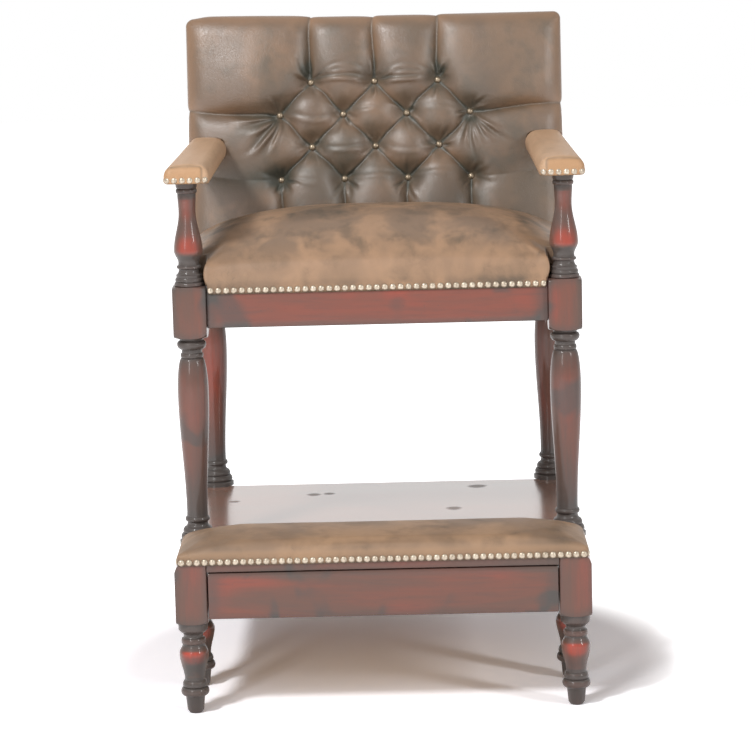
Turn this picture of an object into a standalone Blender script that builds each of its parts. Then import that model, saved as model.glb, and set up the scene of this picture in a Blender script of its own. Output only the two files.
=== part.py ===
"""Bar-height armchair standing on a footrest platform, with a drawer in the platform.

Units are metres and +Z is up. The sitter faces -Y, and left is -X, the left side as seen
from in front. The origin is on the floor, under the middle of the whole chair.
"""

import math

import bmesh
import bpy
from mathutils import Matrix, Vector

# Clearances
GAP = 0.0003  # between pieces that touch
RUNNING_GAP = 0.0015  # drawer sides to the leg blocks
REVEAL = 0.002  # dark line round the drawer front
OVERRUN = 0.004  # how far a cutter or a joined shape reaches past a face

# Platform
PLATFORM_WIDTH = 0.660
BLOCK_WIDTH = 0.051  # square top of each foot
FOOT_HEIGHT = 0.148  # turned part, from the floor to the block
FOOT_RADIUS = 0.024
BLOCK_HEIGHT = 0.092  # from the turned part to the top of the platform board
BOARD_THICKNESS = 0.018
BOARD_REAR_INSET = 0.015  # board's rear edge in front of the rear legs' axis
PLATFORM_RAIL_THICKNESS = 0.020
PLATFORM_RAIL_INSET = 0.004
PLATFORM_RAIL_RISE = 0.009  # rails and drawer above the blocks' lower end
TOP_RAIL_THICKNESS = 0.022
TOP_RAIL_DEPTH = 0.025

# Padded footrest
FOOTREST_BASE_THICKNESS = 0.018
FOOTREST_CROWN = 0.0255
FOOTREST_SKIRT = 0.0135  # leather that hangs below the base board's top
LEATHER = 0.002

# Drawer
DRAWER_FRONT_THICKNESS = 0.020
DRAWER_SIDE_THICKNESS = 0.015
DRAWER_HEAD_ROOM = 0.009  # sides below the platform board
DRAWER_SIDE_RISE = 0.006  # sides above the front's lower edge
DRAWER_LENGTH = 0.430
DRAWER_BOTTOM_THICKNESS = 0.005
DRAWER_BOTTOM_RISE = 0.004
RUNNER_WIDTH = 0.010
RUNNER_HEIGHT = 0.012
RUNNER_RISE = 0.019  # runner above the drawer sides' lower edge
RUNNER_SETBACK = 0.032  # runner's front end behind the platform's front
RUNNER_PLAY = 0.0005
STOP_WALL = 0.0114  # wood left in front of each groove

# Legs
LEG_SETBACK = 0.1865  # front legs' axis behind the platform's front
LEG_SPACING = 0.4765  # front legs' axis to rear legs' axis
FRONT_LEG_INSET = 0.0015  # front legs' axes inside the feet's axes
REAR_LEG_INSET = 0.0045
LEG_LENGTH = 0.342  # turned part, from the board to the seat block
LEG_RADIUS = 0.030
POST_WIDTH = 0.054  # square seat block of each leg
POST_HEIGHT = 0.084
CORNER_CUT = 0.009  # turned-off corners where a square meets a turning
ARM_SUPPORT_LENGTH = 0.1695
ARM_SUPPORT_RADIUS = 0.0245

# Seat
SEAT_RAIL_THICKNESS = 0.022
SEAT_RAIL_HEIGHT = 0.070
SEAT_RAIL_RISE = 0.002  # rails above the legs' seat blocks
SEAT_FACE_INSET = 0.0065  # leather behind the blocks' front face
SEAT_SIDE_INSET = 0.0035  # leather inside the blocks' outer face
SEAT_DECK_THICKNESS = 0.012
CORNER_BLOCK_HEIGHT = 0.050
CORNER_BLOCK_WIDTH = 0.020
SEAT_CROWN = 0.108
SEAT_EDGE = 0.036
SEAT_SKIRT = 0.015  # leather below the rails' top
SEAT_REAR_CLEARANCE = 0.005
SEAT_DRAW_IN = 0.004

# Back
BACK_RAKE = math.radians(8)
BACK_HEIGHT = 0.405  # along the rake, from the seat rails' top
STILE_WIDTH = 0.038
STILE_DEPTH = 0.030
BACK_SIDE_PADDING = 0.012
BACK_TOP_PADDING = 0.014
BACK_FRONT_PADDING = 0.045
BACK_EDGE_PADDING = 0.012
BACK_FOOT = 0.006  # padding's lower edge above the rails' top
TOP_RAIL_HEIGHT = 0.060
LOWER_RAIL_HEIGHT = 0.070
LOWER_RAIL_RISE = 0.020
TUFTING_BOARD_THICKNESS = 0.006
OUTSIDE_BACK_THICKNESS = 0.003
OUTSIDE_BACK_MARGIN = 0.003
OUTSIDE_BACK_FOOT = 0.004

# Diamond tufting of the back
TUFT_PITCH = 0.112
TUFT_ROW = 0.057
TUFT_TOP_DROP = 0.1165  # top row of buttons below the back's top, along the rake
TUFT_ROWS = 4
TUFT_WIDE_COUNT = 4  # buttons in the wider rows
PLEAT_DEPTH = 0.016
PLEAT_WIDTH = 0.013
DIMPLE_DEPTH = 0.010
DIMPLE_WIDTH = 0.020
BUTTON_RADIUS = 0.006
BUTTON_HEIGHT = 0.004
BUTTON_SEAT_LIFT = 0.002

# Arms
ARM_FRONT_WIDTH = 0.070
ARM_REAR_WIDTH = 0.059
ARM_INNER_REACH = 0.038  # arm's inner side inside the front legs' axis
ARM_SETBACK = 0.148  # arm's front behind the platform's front
ARM_BOARD_THICKNESS = 0.016
ARM_WALL = 0.006  # padding beside the arm board
ARM_SKIRT = 0.0015  # leather below the arm board
ARM_CROWN = 0.014
ARM_CORNER_RADIUS = 0.012

# How finely round shapes are made
TURNING_SIDES = 12
CURVE_STEPS = 3
BUTTON_SIDES = 8
PLEATS_PER_PITCH = 6
PLEATS_PER_ROW = 3

# Turned outlines from the bottom up: kind of stretch, radius and height at its end as
# shares of the turning's largest radius and length, and the crest of a bead or cove
LEG_OUTLINE_SHARES = (
    ("line", 1.00, 0.000),
    ("line", 1.00, 0.018),
    ("line", 0.86, 0.026),
    ("bead", 0.76, 0.056, 0.92),
    ("bead", 0.66, 0.085, 0.80),
    ("cove", 0.60, 0.111, 0.57),
    ("bead", 0.58, 0.134, 0.67),
    ("line", 0.57, 0.152),
    ("rise", 0.84, 0.730),
    ("shoulder", 0.56, 0.902),
    ("bead", 0.55, 0.926, 0.62),
    ("line", 0.55, 0.942),
    ("bead", 0.62, 0.984, 0.79),
    ("line", 0.70, 1.000),
)
ARM_SUPPORT_OUTLINE_SHARES = (
    ("line", 0.95, 0.000),
    ("bead", 0.88, 0.042, 1.00),
    ("bead", 0.84, 0.082, 0.93),
    ("line", 0.87, 0.108),
    ("cove", 0.74, 0.168, 0.70),
    ("bead", 0.70, 0.200, 0.81),
    ("line", 0.69, 0.224),
    ("rise", 0.95, 0.335),
    ("rise", 0.54, 0.710),
    ("rise", 0.62, 0.850),
    ("bead", 0.66, 0.970, 0.75),
    ("line", 0.70, 1.000),
)
FOOT_OUTLINE_SHARES = (
    ("line", 0.42, 0.000),
    ("line", 0.55, 0.030),
    ("line", 0.64, 0.176),
    ("line", 0.74, 0.192),
    ("bead", 0.74, 0.285, 0.94),
    ("bead", 0.66, 0.362, 0.81),
    ("rise", 0.97, 0.660),
    ("rise", 0.74, 0.765),
    ("bead", 0.72, 0.830, 0.81),
    ("cove", 0.76, 0.885, 0.64),
    ("line", 0.98, 0.922),
    ("line", 1.00, 1.000),
)

# Swells of the padding, as shares
FOOTREST_EDGE_SHARE = 0.24  # height of the pad's ends
FOOTREST_FRONT_SHARE = 0.62  # height along the pad's front edge
FOOTREST_REAR_SHARE = 0.70
SEAT_CROWN_PLACE_SHARE = 0.42  # highest line, from the seat's front to its rear
SEAT_REAR_FALL_SHARE = 0.34  # how far the dome has fallen at the rear
SEAT_SIDE_SHARE = 0.62  # height of the dome's sides
OUTER_ROLL_SHARE = 0.80  # how much of the back's edge padding the rounding takes
ARM_ROLL_SHARE = 0.85  # rounding of the arms' top edges, of their corner radius

# Powers of the padding's curves: a higher one keeps the middle flat and turns the edge
# down more sharply, and a root below one makes that edge steeper
FOOTREST_END_POWER = 14
FOOTREST_END_ROOT = 0.5
SEAT_FRONT_POWER = 2.6
SEAT_FRONT_ROOT = 0.6
SEAT_SIDE_POWER = 3.2
SEAT_SIDE_ROOT = 0.55

# Finishes: linear colour, roughness, metallic
CHERRY = ((0.120, 0.036, 0.020), 0.34, 0.0)
POPLAR = ((0.420, 0.300, 0.180), 0.70, 0.0)
PLYWOOD = ((0.480, 0.350, 0.210), 0.75, 0.0)
BACK_LEATHER = ((0.150, 0.100, 0.072), 0.50, 0.0)
SEAT_LEATHER = ((0.210, 0.135, 0.088), 0.48, 0.0)
ARM_LEATHER = ((0.420, 0.250, 0.165), 0.50, 0.0)
FOOTREST_LEATHER = ((0.300, 0.180, 0.115), 0.50, 0.0)
ANTIQUE_BRASS = ((0.520, 0.430, 0.300), 0.38, 1.0)

SIDES = (("left", -1), ("right", 1))

# Heights worked out from the sizes above
board_top_z = FOOT_HEIGHT + BLOCK_HEIGHT
base_top_z = board_top_z + FOOTREST_BASE_THICKNESS
board_bottom_z = board_top_z - BOARD_THICKNESS
platform_rail_bottom_z = FOOT_HEIGHT + PLATFORM_RAIL_RISE
top_rail_bottom_z = base_top_z - TOP_RAIL_DEPTH
drawer_front_top_z = top_rail_bottom_z - REVEAL
drawer_side_bottom_z = platform_rail_bottom_z + DRAWER_SIDE_RISE
drawer_side_top_z = board_bottom_z - DRAWER_HEAD_ROOM
runner_bottom_z = drawer_side_bottom_z + RUNNER_RISE
post_bottom_z = board_top_z + LEG_LENGTH
post_top_z = post_bottom_z + POST_HEIGHT
rail_top_z = post_top_z + SEAT_RAIL_RISE
rail_bottom_z = rail_top_z - SEAT_RAIL_HEIGHT
arm_board_z = post_top_z + ARM_SUPPORT_LENGTH + GAP

# Places across the chair
block_x = (PLATFORM_WIDTH - BLOCK_WIDTH) / 2
block_inner_x = block_x - BLOCK_WIDTH / 2
front_leg_x = block_x - FRONT_LEG_INSET
rear_leg_x = block_x - REAR_LEG_INSET
arm_inner_x = front_leg_x - ARM_INNER_REACH
runner_outer_x = block_inner_x - GAP
runner_inner_x = runner_outer_x - RUNNER_WIDTH
drawer_outer_x = block_inner_x - RUNNING_GAP
drawer_inner_x = drawer_outer_x - DRAWER_SIDE_THICKNESS
seat_leather_x = front_leg_x + POST_WIDTH / 2 - SEAT_SIDE_INSET - LEATHER
seat_rail_outer_x = seat_leather_x - GAP - LEATHER
seat_rail_inner_x = seat_rail_outer_x - SEAT_RAIL_THICKNESS
back_half_width = rear_leg_x + STILE_WIDTH / 2 + BACK_SIDE_PADDING
stile_outer_x = rear_leg_x + STILE_WIDTH / 2
stile_inner_x = rear_leg_x - STILE_WIDTH / 2
frame_top_w = BACK_HEIGHT - BACK_TOP_PADDING
outside_back_depth = STILE_DEPTH + GAP + OUTSIDE_BACK_THICKNESS

# Places from front to rear. The chair reaches from the leather on the platform's front to
# the top of the outside back, and the middle of that reach is at zero.
front_reach = GAP + LEATHER
stile_front_setback = LEG_SETBACK + LEG_SPACING + POST_WIDTH / 2 - STILE_DEPTH
outside_back_top_w = BACK_HEIGHT - OUTSIDE_BACK_MARGIN
rear_reach = (stile_front_setback + outside_back_top_w * math.sin(BACK_RAKE)
              + outside_back_depth * math.cos(BACK_RAKE))
front_y = (front_reach - rear_reach) / 2
front_leg_y = front_y + LEG_SETBACK
rear_leg_y = front_leg_y + LEG_SPACING
stile_front_y = front_y + stile_front_setback
block_ys = {
    "front": front_y + BLOCK_WIDTH / 2,
    "middle": front_leg_y,
    "rear": rear_leg_y,
}
board_front_y = front_y + TOP_RAIL_THICKNESS + GAP
board_rear_y = rear_leg_y - BOARD_REAR_INSET
platform_rear_rail_y = board_rear_y - PLATFORM_RAIL_THICKNESS
footrest_rear_y = front_leg_y - LEG_RADIUS - 2 * GAP
seat_front_y = front_leg_y - POST_WIDTH / 2 + SEAT_FACE_INSET
seat_rail_front_y = seat_front_y + LEATHER + GAP
seat_rail_rear_y = rear_leg_y + POST_WIDTH / 2 - SEAT_FACE_INSET - LEATHER - GAP
seat_rear_y = stile_front_y - BACK_FRONT_PADDING - SEAT_REAR_CLEARANCE
arm_front_y = front_y + ARM_SETBACK


def clear_scene():
    """Remove whatever the scene holds."""
    for item in list(bpy.data.objects):
        bpy.data.objects.remove(item, do_unlink=True)


def new_collection(name):
    """Add a collection to the scene."""
    collection = bpy.data.collections.new(name)
    bpy.context.scene.collection.children.link(collection)
    return collection


def new_material(name, finish):
    """A plain finish of one colour, roughness and metallic value."""
    colour, roughness, metallic = finish
    material = bpy.data.materials.new(name)
    material.use_nodes = True
    shader = material.node_tree.nodes["Principled BSDF"]
    shader.inputs["Base Color"].default_value = (*colour, 1.0)
    shader.inputs["Roughness"].default_value = roughness
    shader.inputs["Metallic"].default_value = metallic
    return material


def add_piece(name, mesh, finish):
    """Put a mesh into the chair's collection, with its own material."""
    piece = bpy.data.objects.new(name, mesh)
    mesh.materials.append(new_material(name + "_finish", finish))
    chair.objects.link(piece)
    return piece


def add_guide(name, mesh):
    """Put a mesh that only cuts or joins into the guides' collection."""
    guide = bpy.data.objects.new(name, mesh)
    guide.hide_render = True
    guide.display_type = "WIRE"
    guides.objects.link(guide)
    return guide


def mesh_from(name, bm):
    """Turn a bmesh into a mesh and free it."""
    mesh = bpy.data.meshes.new(name)
    bm.to_mesh(mesh)
    bm.free()
    return mesh


def box_mesh(name, low, high):
    """A box between two corners."""
    low, high = Vector(low), Vector(high)
    bm = bmesh.new()
    bmesh.ops.create_cube(bm, size=1)
    size = high - low
    for vert in bm.verts:
        vert.co = (low + high) / 2 + Vector(a * b for a, b in zip(vert.co, size))
    return mesh_from(name, bm)


def box(name, low, high, finish):
    """A piece that is a plain box."""
    return add_piece(name, box_mesh(name, low, high), finish)


def mirrored_box(name, side, low, high, finish):
    """A box given for the right side, put on either side."""
    near, far = sorted((side * low[0], side * high[0]))
    return box(name, (near, *low[1:]), (far, *high[1:]), finish)


def plate(name, outline, bottom_z, thickness, finish):
    """A flat outline with a thickness."""
    curve = bpy.data.curves.new(name, "CURVE")
    curve.dimensions = "2D"
    curve.fill_mode = "BOTH"
    curve.extrude = thickness / 2
    spline = curve.splines.new("POLY")
    spline.points.add(len(outline) - 1)
    for point, (x, y) in zip(spline.points, outline):
        point.co = (x, y, 0, 1)
    spline.use_cyclic_u = True
    curve.materials.append(new_material(name + "_finish", finish))
    piece = bpy.data.objects.new(name, curve)
    piece.location.z = bottom_z + thickness / 2
    chair.objects.link(piece)
    return piece


def combine(piece, guide, operation):
    """Cut a guide from a piece, or join it to the piece."""
    modifier = piece.modifiers.new(guide.name, "BOOLEAN")
    modifier.operation = operation
    modifier.object = guide
    modifier.solver = "EXACT"


def cut_box(piece, name, low, high):
    """Cut a box out of a piece."""
    guide = add_guide(name, box_mesh(name, low, high))
    combine(piece, guide, "DIFFERENCE")
    return guide


def join_box(piece, name, low, high):
    """Join a box to a piece."""
    guide = add_guide(name, box_mesh(name, low, high))
    combine(piece, guide, "UNION")
    return guide


def stretch_points(kind, start, end, crest):
    """Points of one stretch of a turned outline, after its start."""
    if kind == "line":
        return [end]
    points = []
    for step in range(1, CURVE_STEPS + 1):
        angle = math.pi * step / CURVE_STEPS
        if kind in ("bead", "cove"):
            along = (1 - math.cos(angle)) / 2
            root = start[0] + (end[0] - start[0]) * along
            bulge = (crest - (start[0] + end[0]) / 2) * math.sin(angle)
            points.append((root + bulge, start[1] + (end[1] - start[1]) * along))
        elif kind == "rise":
            share = step / CURVE_STEPS
            swing = (1 - math.cos(angle)) / 2
            points.append((start[0] + (end[0] - start[0]) * swing,
                           start[1] + (end[1] - start[1]) * share))
        else:
            points.append((end[0] + (start[0] - end[0]) * math.cos(angle / 2),
                           start[1] + (end[1] - start[1]) * math.sin(angle / 2)))
    return points


def turned_points(shares, radius, length):
    """Outline of a turning, as radius and height from its lower end up."""
    points = []
    for kind, radius_share, height_share, *crest_share in shares:
        end = (radius * radius_share, length * height_share)
        crest = radius * crest_share[0] if crest_share else None
        points += stretch_points(kind, points[-1] if points else end, end, crest)
    return points


def turning_guide(name, points):
    """Spin an outline round the Z axis. The outline runs down its outer side."""
    outline = [(0, points[0][1]), *points, (0, points[-1][1])]
    outline.reverse()
    mesh = bpy.data.meshes.new(name)
    edges = [(index, index + 1) for index in range(len(outline) - 1)]
    mesh.from_pydata([(radius, 0, z) for radius, z in outline], edges, [])
    guide = add_guide(name, mesh)
    screw = guide.modifiers.new("Turning", "SCREW")
    screw.steps = screw.render_steps = TURNING_SIDES
    screw.use_merge_vertices = True
    screw.merge_threshold = GAP / 10
    return guide


def square_block(name, centre, width, bottom_z, top_z, finish):
    """A square block whose corners are turned off at both ends."""
    mesh = box_mesh(name, (-width / 2, -width / 2, bottom_z), (width / 2, width / 2, top_z))
    block = add_piece(name, mesh, finish)
    block.location = (*centre, 0)
    bevel = block.modifiers.new("Turned corners", "BEVEL")
    bevel.affect = "VERTICES"
    bevel.width = CORNER_CUT
    bevel.segments = 1
    return block


def join_turning(block, name, points, base_z):
    """Join a turning to a square block, on the block's axis."""
    guide = turning_guide(name, points)
    guide.location = (block.location.x, block.location.y, base_z)
    combine(block, guide, "UNION")
    return guide


def add_feet():
    """Six feet with square blocks. The front ones stop under the footrest's padding."""
    points = turned_points(FOOT_OUTLINE_SHARES, FOOT_RADIUS, FOOT_HEIGHT)
    points.append((points[-1][0], FOOT_HEIGHT + OVERRUN))
    for place, y in block_ys.items():
        top = base_top_z - GAP if place == "front" else board_top_z - GAP
        for side_name, side in SIDES:
            name = f"{place}_foot_{side_name}"
            foot = square_block(name, (side * block_x, y), BLOCK_WIDTH, FOOT_HEIGHT, top, CHERRY)
            join_turning(foot, name + "_turning", points, 0)


def cut_block_notches(piece, names, bottom_z, top_z):
    """Notch a flat piece round the platform's blocks."""
    reach = BLOCK_WIDTH / 2 + GAP
    for place in names:
        for side_name, side in SIDES:
            x, y = side * block_x, block_ys[place]
            outer = side * (PLATFORM_WIDTH / 2 + OVERRUN)
            inner = x - side * reach
            cut_box(piece, f"{piece.name}_{place}_{side_name}_notch",
                    (min(inner, outer), y - reach, bottom_z - OVERRUN),
                    (max(inner, outer), y + reach, top_z + OVERRUN))


def add_platform():
    """The board, its rails and the padded footrest's wooden base."""
    half = PLATFORM_WIDTH / 2
    board = box("platform_board", (-half, board_front_y, board_bottom_z),
                (half, board_rear_y, board_top_z), CHERRY)
    cut_block_notches(board, ("front", "middle", "rear"), board_bottom_z, board_top_z)
    base = box("footrest_base", (-half, board_front_y, board_top_z + GAP),
               (half, footrest_rear_y - LEATHER - GAP, base_top_z), POPLAR)
    cut_block_notches(base, ("front",), board_top_z, base_top_z)
    inner_x = block_inner_x - GAP
    box("front_top_rail", (-inner_x, front_y, top_rail_bottom_z),
        (inner_x, front_y + TOP_RAIL_THICKNESS, base_top_z), CHERRY)
    rail_top = board_bottom_z - GAP
    outer_x = half - PLATFORM_RAIL_INSET
    reach = BLOCK_WIDTH / 2 + GAP
    for side_name, side in SIDES:
        for name, ahead, behind in (("front", "front", "middle"), ("rear", "middle", "rear")):
            mirrored_box(f"platform_{name}_side_rail_{side_name}", side,
                         (outer_x - PLATFORM_RAIL_THICKNESS, block_ys[ahead] + reach,
                          platform_rail_bottom_z),
                         (outer_x, block_ys[behind] - reach, rail_top), CHERRY)
        mirrored_box(f"drawer_runner_{side_name}", side,
                     (runner_inner_x, front_y + RUNNER_SETBACK, runner_bottom_z),
                     (runner_outer_x, platform_rear_rail_y - GAP,
                      runner_bottom_z + RUNNER_HEIGHT), POPLAR)
    box("platform_rear_rail", (-inner_x, platform_rear_rail_y, platform_rail_bottom_z),
        (inner_x, board_rear_y, rail_top), CHERRY)


def add_drawer():
    """A drawer whose grooved sides ride on the runners."""
    front_x = block_inner_x - REVEAL
    body_y = front_y + DRAWER_FRONT_THICKNESS + GAP
    rear_y = front_y + DRAWER_LENGTH
    pieces = [box("drawer_front", (-front_x, front_y, platform_rail_bottom_z),
                  (front_x, front_y + DRAWER_FRONT_THICKNESS, drawer_front_top_z), CHERRY)]
    for side_name, side in SIDES:
        name = f"drawer_side_{side_name}"
        panel = mirrored_box(name, side, (drawer_inner_x, body_y, drawer_side_bottom_z),
                             (drawer_outer_x, rear_y, drawer_side_top_z), POPLAR)
        near, far = sorted((side * (runner_inner_x - RUNNER_PLAY),
                            side * (drawer_outer_x + OVERRUN)))
        cut_box(panel, name + "_groove",
                (near, body_y + STOP_WALL, runner_bottom_z - RUNNER_PLAY),
                (far, rear_y + OVERRUN, runner_bottom_z + RUNNER_HEIGHT + GAP))
        pieces.append(panel)
    inner_x = drawer_inner_x - GAP
    pieces.append(box("drawer_back",
                      (-inner_x, rear_y - DRAWER_SIDE_THICKNESS, drawer_side_bottom_z),
                      (inner_x, rear_y, drawer_side_top_z), POPLAR))
    bottom_z = drawer_side_bottom_z + DRAWER_BOTTOM_RISE
    pieces.append(box("drawer_bottom", (-inner_x, body_y, bottom_z),
                      (inner_x, rear_y - DRAWER_SIDE_THICKNESS - GAP,
                       bottom_z + DRAWER_BOTTOM_THICKNESS), PLYWOOD))
    drawer = bpy.data.objects.new("drawer_slide_axis", None)
    chair.objects.link(drawer)
    for piece in pieces:
        piece.parent = drawer


def add_legs():
    """Turned legs on the platform, square at the seat, with the arm supports on top."""
    leg = turned_points(LEG_OUTLINE_SHARES, LEG_RADIUS, LEG_LENGTH)
    leg.append((leg[-1][0], LEG_LENGTH + OVERRUN))
    support = turned_points(ARM_SUPPORT_OUTLINE_SHARES, ARM_SUPPORT_RADIUS, ARM_SUPPORT_LENGTH)
    support.insert(0, (support[0][0], -OVERRUN))
    for side_name, side in SIDES:
        front = square_block(f"front_leg_{side_name}", (side * front_leg_x, front_leg_y),
                             POST_WIDTH, post_bottom_z, post_top_z, CHERRY)
        join_turning(front, front.name + "_turning", leg, board_top_z)
        join_turning(front, front.name + "_arm_support", support, post_top_z)
        rear = square_block(f"rear_leg_{side_name}", (side * rear_leg_x, rear_leg_y),
                            POST_WIDTH, post_bottom_z, post_top_z, CHERRY)
        join_turning(rear, rear.name + "_turning", leg, board_top_z)
        near, far = sorted((side * stile_inner_x, side * stile_outer_x))
        stile = join_box(rear, rear.name + "_stile", (near, 0, -STILE_DEPTH),
                         (far, STILE_DEPTH, frame_top_w))
        stile.parent = back_frame


def add_seat_frame():
    """Four rails between the legs' blocks, corner blocks and the deck."""
    reach = POST_WIDTH / 2 + GAP
    for name, leg_x, low_y in (
            ("front", front_leg_x, seat_rail_front_y),
            ("rear", rear_leg_x, seat_rail_rear_y - SEAT_RAIL_THICKNESS)):
        end_x = leg_x - reach
        box(f"seat_{name}_rail", (-end_x, low_y, rail_bottom_z),
            (end_x, low_y + SEAT_RAIL_THICKNESS, rail_top_z), CHERRY)
    for side_name, side in SIDES:
        mirrored_box(f"seat_side_rail_{side_name}", side,
                     (seat_rail_inner_x, front_leg_y + reach, rail_bottom_z),
                     (seat_rail_outer_x, rear_leg_y - reach, rail_top_z), CHERRY)
    deck_x = seat_rail_inner_x - GAP
    deck_front = seat_rail_front_y + SEAT_RAIL_THICKNESS + GAP
    deck_rear = seat_rail_rear_y - SEAT_RAIL_THICKNESS - GAP
    deck = box("seat_deck", (-deck_x, deck_front, rail_top_z - SEAT_DECK_THICKNESS),
               (deck_x, deck_rear, rail_top_z), PLYWOOD)
    cut_post_notches(deck, rail_bottom_z, rail_top_z + OVERRUN)
    block_bottom = rail_top_z - SEAT_DECK_THICKNESS - GAP - CORNER_BLOCK_HEIGHT
    for side_name, side in SIDES:
        for place, corner_y, inward, leg_x, leg_y in (
                ("front", deck_front, 1, front_leg_x, front_leg_y),
                ("rear", deck_rear, -1, rear_leg_x, rear_leg_y)):
            clear = (deck_x - (leg_x - reach)) + abs(leg_y + inward * reach - corner_y)
            near = clear + GAP
            far = near + CORNER_BLOCK_WIDTH * math.sqrt(2)
            outline = [(side * (deck_x - a), corner_y + inward * b)
                       for a, b in ((near, 0), (far, 0), (0, far), (0, near))]
            plate(f"seat_corner_block_{place}_{side_name}", outline, block_bottom,
                  CORNER_BLOCK_HEIGHT, POPLAR)


def cut_post_notches(piece, low_z, high_z):
    """Notch a piece round the four seat blocks."""
    reach = POST_WIDTH / 2 + GAP
    for place, leg_x, leg_y in (("front", front_leg_x, front_leg_y),
                                ("rear", rear_leg_x, rear_leg_y)):
        for side_name, side in SIDES:
            x = side * leg_x
            cut_box(piece, f"{piece.name}_{place}_{side_name}_notch",
                    (x - reach, leg_y - reach, low_z), (x + reach, leg_y + reach, high_z))


def cushion_mesh(name, half_width, front, rear, base_z, height_at, counts, draw_in):
    """A closed cage with a flat bottom, whose top stands height_at(u, v) above it.

    u runs from -1 to 1 across and v from -1 to 1 from the front to the rear.
    """
    bm = bmesh.new()
    crease = bm.edges.layers.float.new("crease_edge")
    corner_crease = bm.verts.layers.float.new("crease_vert")
    bmesh.ops.create_grid(bm, x_segments=counts[0], y_segments=counts[1], size=1)
    places = {vert: (vert.co.x, vert.co.y) for vert in bm.verts}
    top_verts = list(bm.verts)
    bmesh.ops.duplicate(bm, geom=bm.verts[:] + bm.edges[:] + bm.faces[:])
    bottom_verts = [vert for vert in bm.verts if vert not in places]
    bottom_faces = [face for face in bm.faces if face.verts[0] not in places]
    for vert in bottom_verts:
        vert[corner_crease] = float(len(vert.link_edges) == 2)
        vert.co = plan_point(vert.co.x, vert.co.y, half_width, front, rear, base_z)
    for vert in top_verts:
        u, v = places[vert]
        vert.co = plan_point(u, v, half_width - draw_in * (1 - v * v), front, rear,
                             base_z + height_at(u, v))
    rims = [edge for edge in bm.edges if len(edge.link_faces) == 1]
    bmesh.ops.bridge_loops(bm, edges=rims)
    outline = [edge for edge in rims if edge.verts[0] not in places]
    for edge in outline:
        edge[crease] = 1
    bmesh.ops.dissolve_faces(bm, faces=bottom_faces)
    bmesh.ops.recalc_face_normals(bm, faces=bm.faces[:])
    return mesh_from(name, bm)


def plan_point(u, v, half_width, front, rear, z):
    """A point of a cushion's plan."""
    return Vector((u * half_width, front + (v + 1) / 2 * (rear - front), z))


def cushion(name, mesh, finish):
    """A soft piece, smoothed from its cage."""
    piece = add_piece(name, mesh, finish)
    smooth = piece.modifiers.new("Padding", "SUBSURF")
    smooth.levels = smooth.render_levels = 1
    piece.modifiers.new("Flat facets", "TRIANGULATE")
    mesh.shade_smooth()
    return piece


def footrest_height(u, v):
    """Swell of the footrest: a near-upright front, a crest, and ends that fall away."""
    ends = (1 - abs(u) ** FOOTREST_END_POWER) ** FOOTREST_END_ROOT
    edge_share = FOOTREST_FRONT_SHARE if v < 0 else FOOTREST_REAR_SHARE
    across = edge_share + (1 - edge_share) * (1 - v * v)
    low = FOOTREST_CROWN * FOOTREST_EDGE_SHARE
    return low + (FOOTREST_CROWN * across - low) * ends


def seat_height(u, v):
    """Swell of the seat: a low front roll, full sides and a dome."""
    place = (v + 1) / 2
    if place < SEAT_CROWN_PLACE_SHARE:
        along = 1 - place / SEAT_CROWN_PLACE_SHARE
        fall = (1 - along ** SEAT_FRONT_POWER) ** SEAT_FRONT_ROOT
    else:
        along = (place - SEAT_CROWN_PLACE_SHARE) / (1 - SEAT_CROWN_PLACE_SHARE)
        fall = 1 - SEAT_REAR_FALL_SHARE * along ** 2
    across = (1 - abs(u) ** SEAT_SIDE_POWER) ** SEAT_SIDE_ROOT
    swell = fall * (SEAT_SIDE_SHARE + (1 - SEAT_SIDE_SHARE) * across)
    return SEAT_EDGE + (SEAT_CROWN - SEAT_EDGE) * swell


def add_footrest_pad():
    """Padding over the footrest's base, with leather turned down over its edges."""
    half = PLATFORM_WIDTH / 2 + GAP + LEATHER
    front = front_y - GAP - LEATHER
    base_z = base_top_z + GAP
    mesh = cushion_mesh("footrest_pad", half - GAP, front + GAP, footrest_rear_y - GAP, base_z,
                        footrest_height, (12, 4), 0)
    pad = cushion("footrest_pad", mesh, FOOTREST_LEATHER)
    lower = base_top_z - FOOTREST_SKIRT
    upper = base_z + FOOTREST_CROWN * FOOTREST_EDGE_SHARE / 2
    skirt = join_box(pad, "footrest_skirt", (-half, front, lower), (half, footrest_rear_y, upper))
    cut_box(skirt, "footrest_skirt_inside",
            (LEATHER - half, front + LEATHER, lower - OVERRUN),
            (half - LEATHER, footrest_rear_y - LEATHER, upper + OVERRUN))


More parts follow.
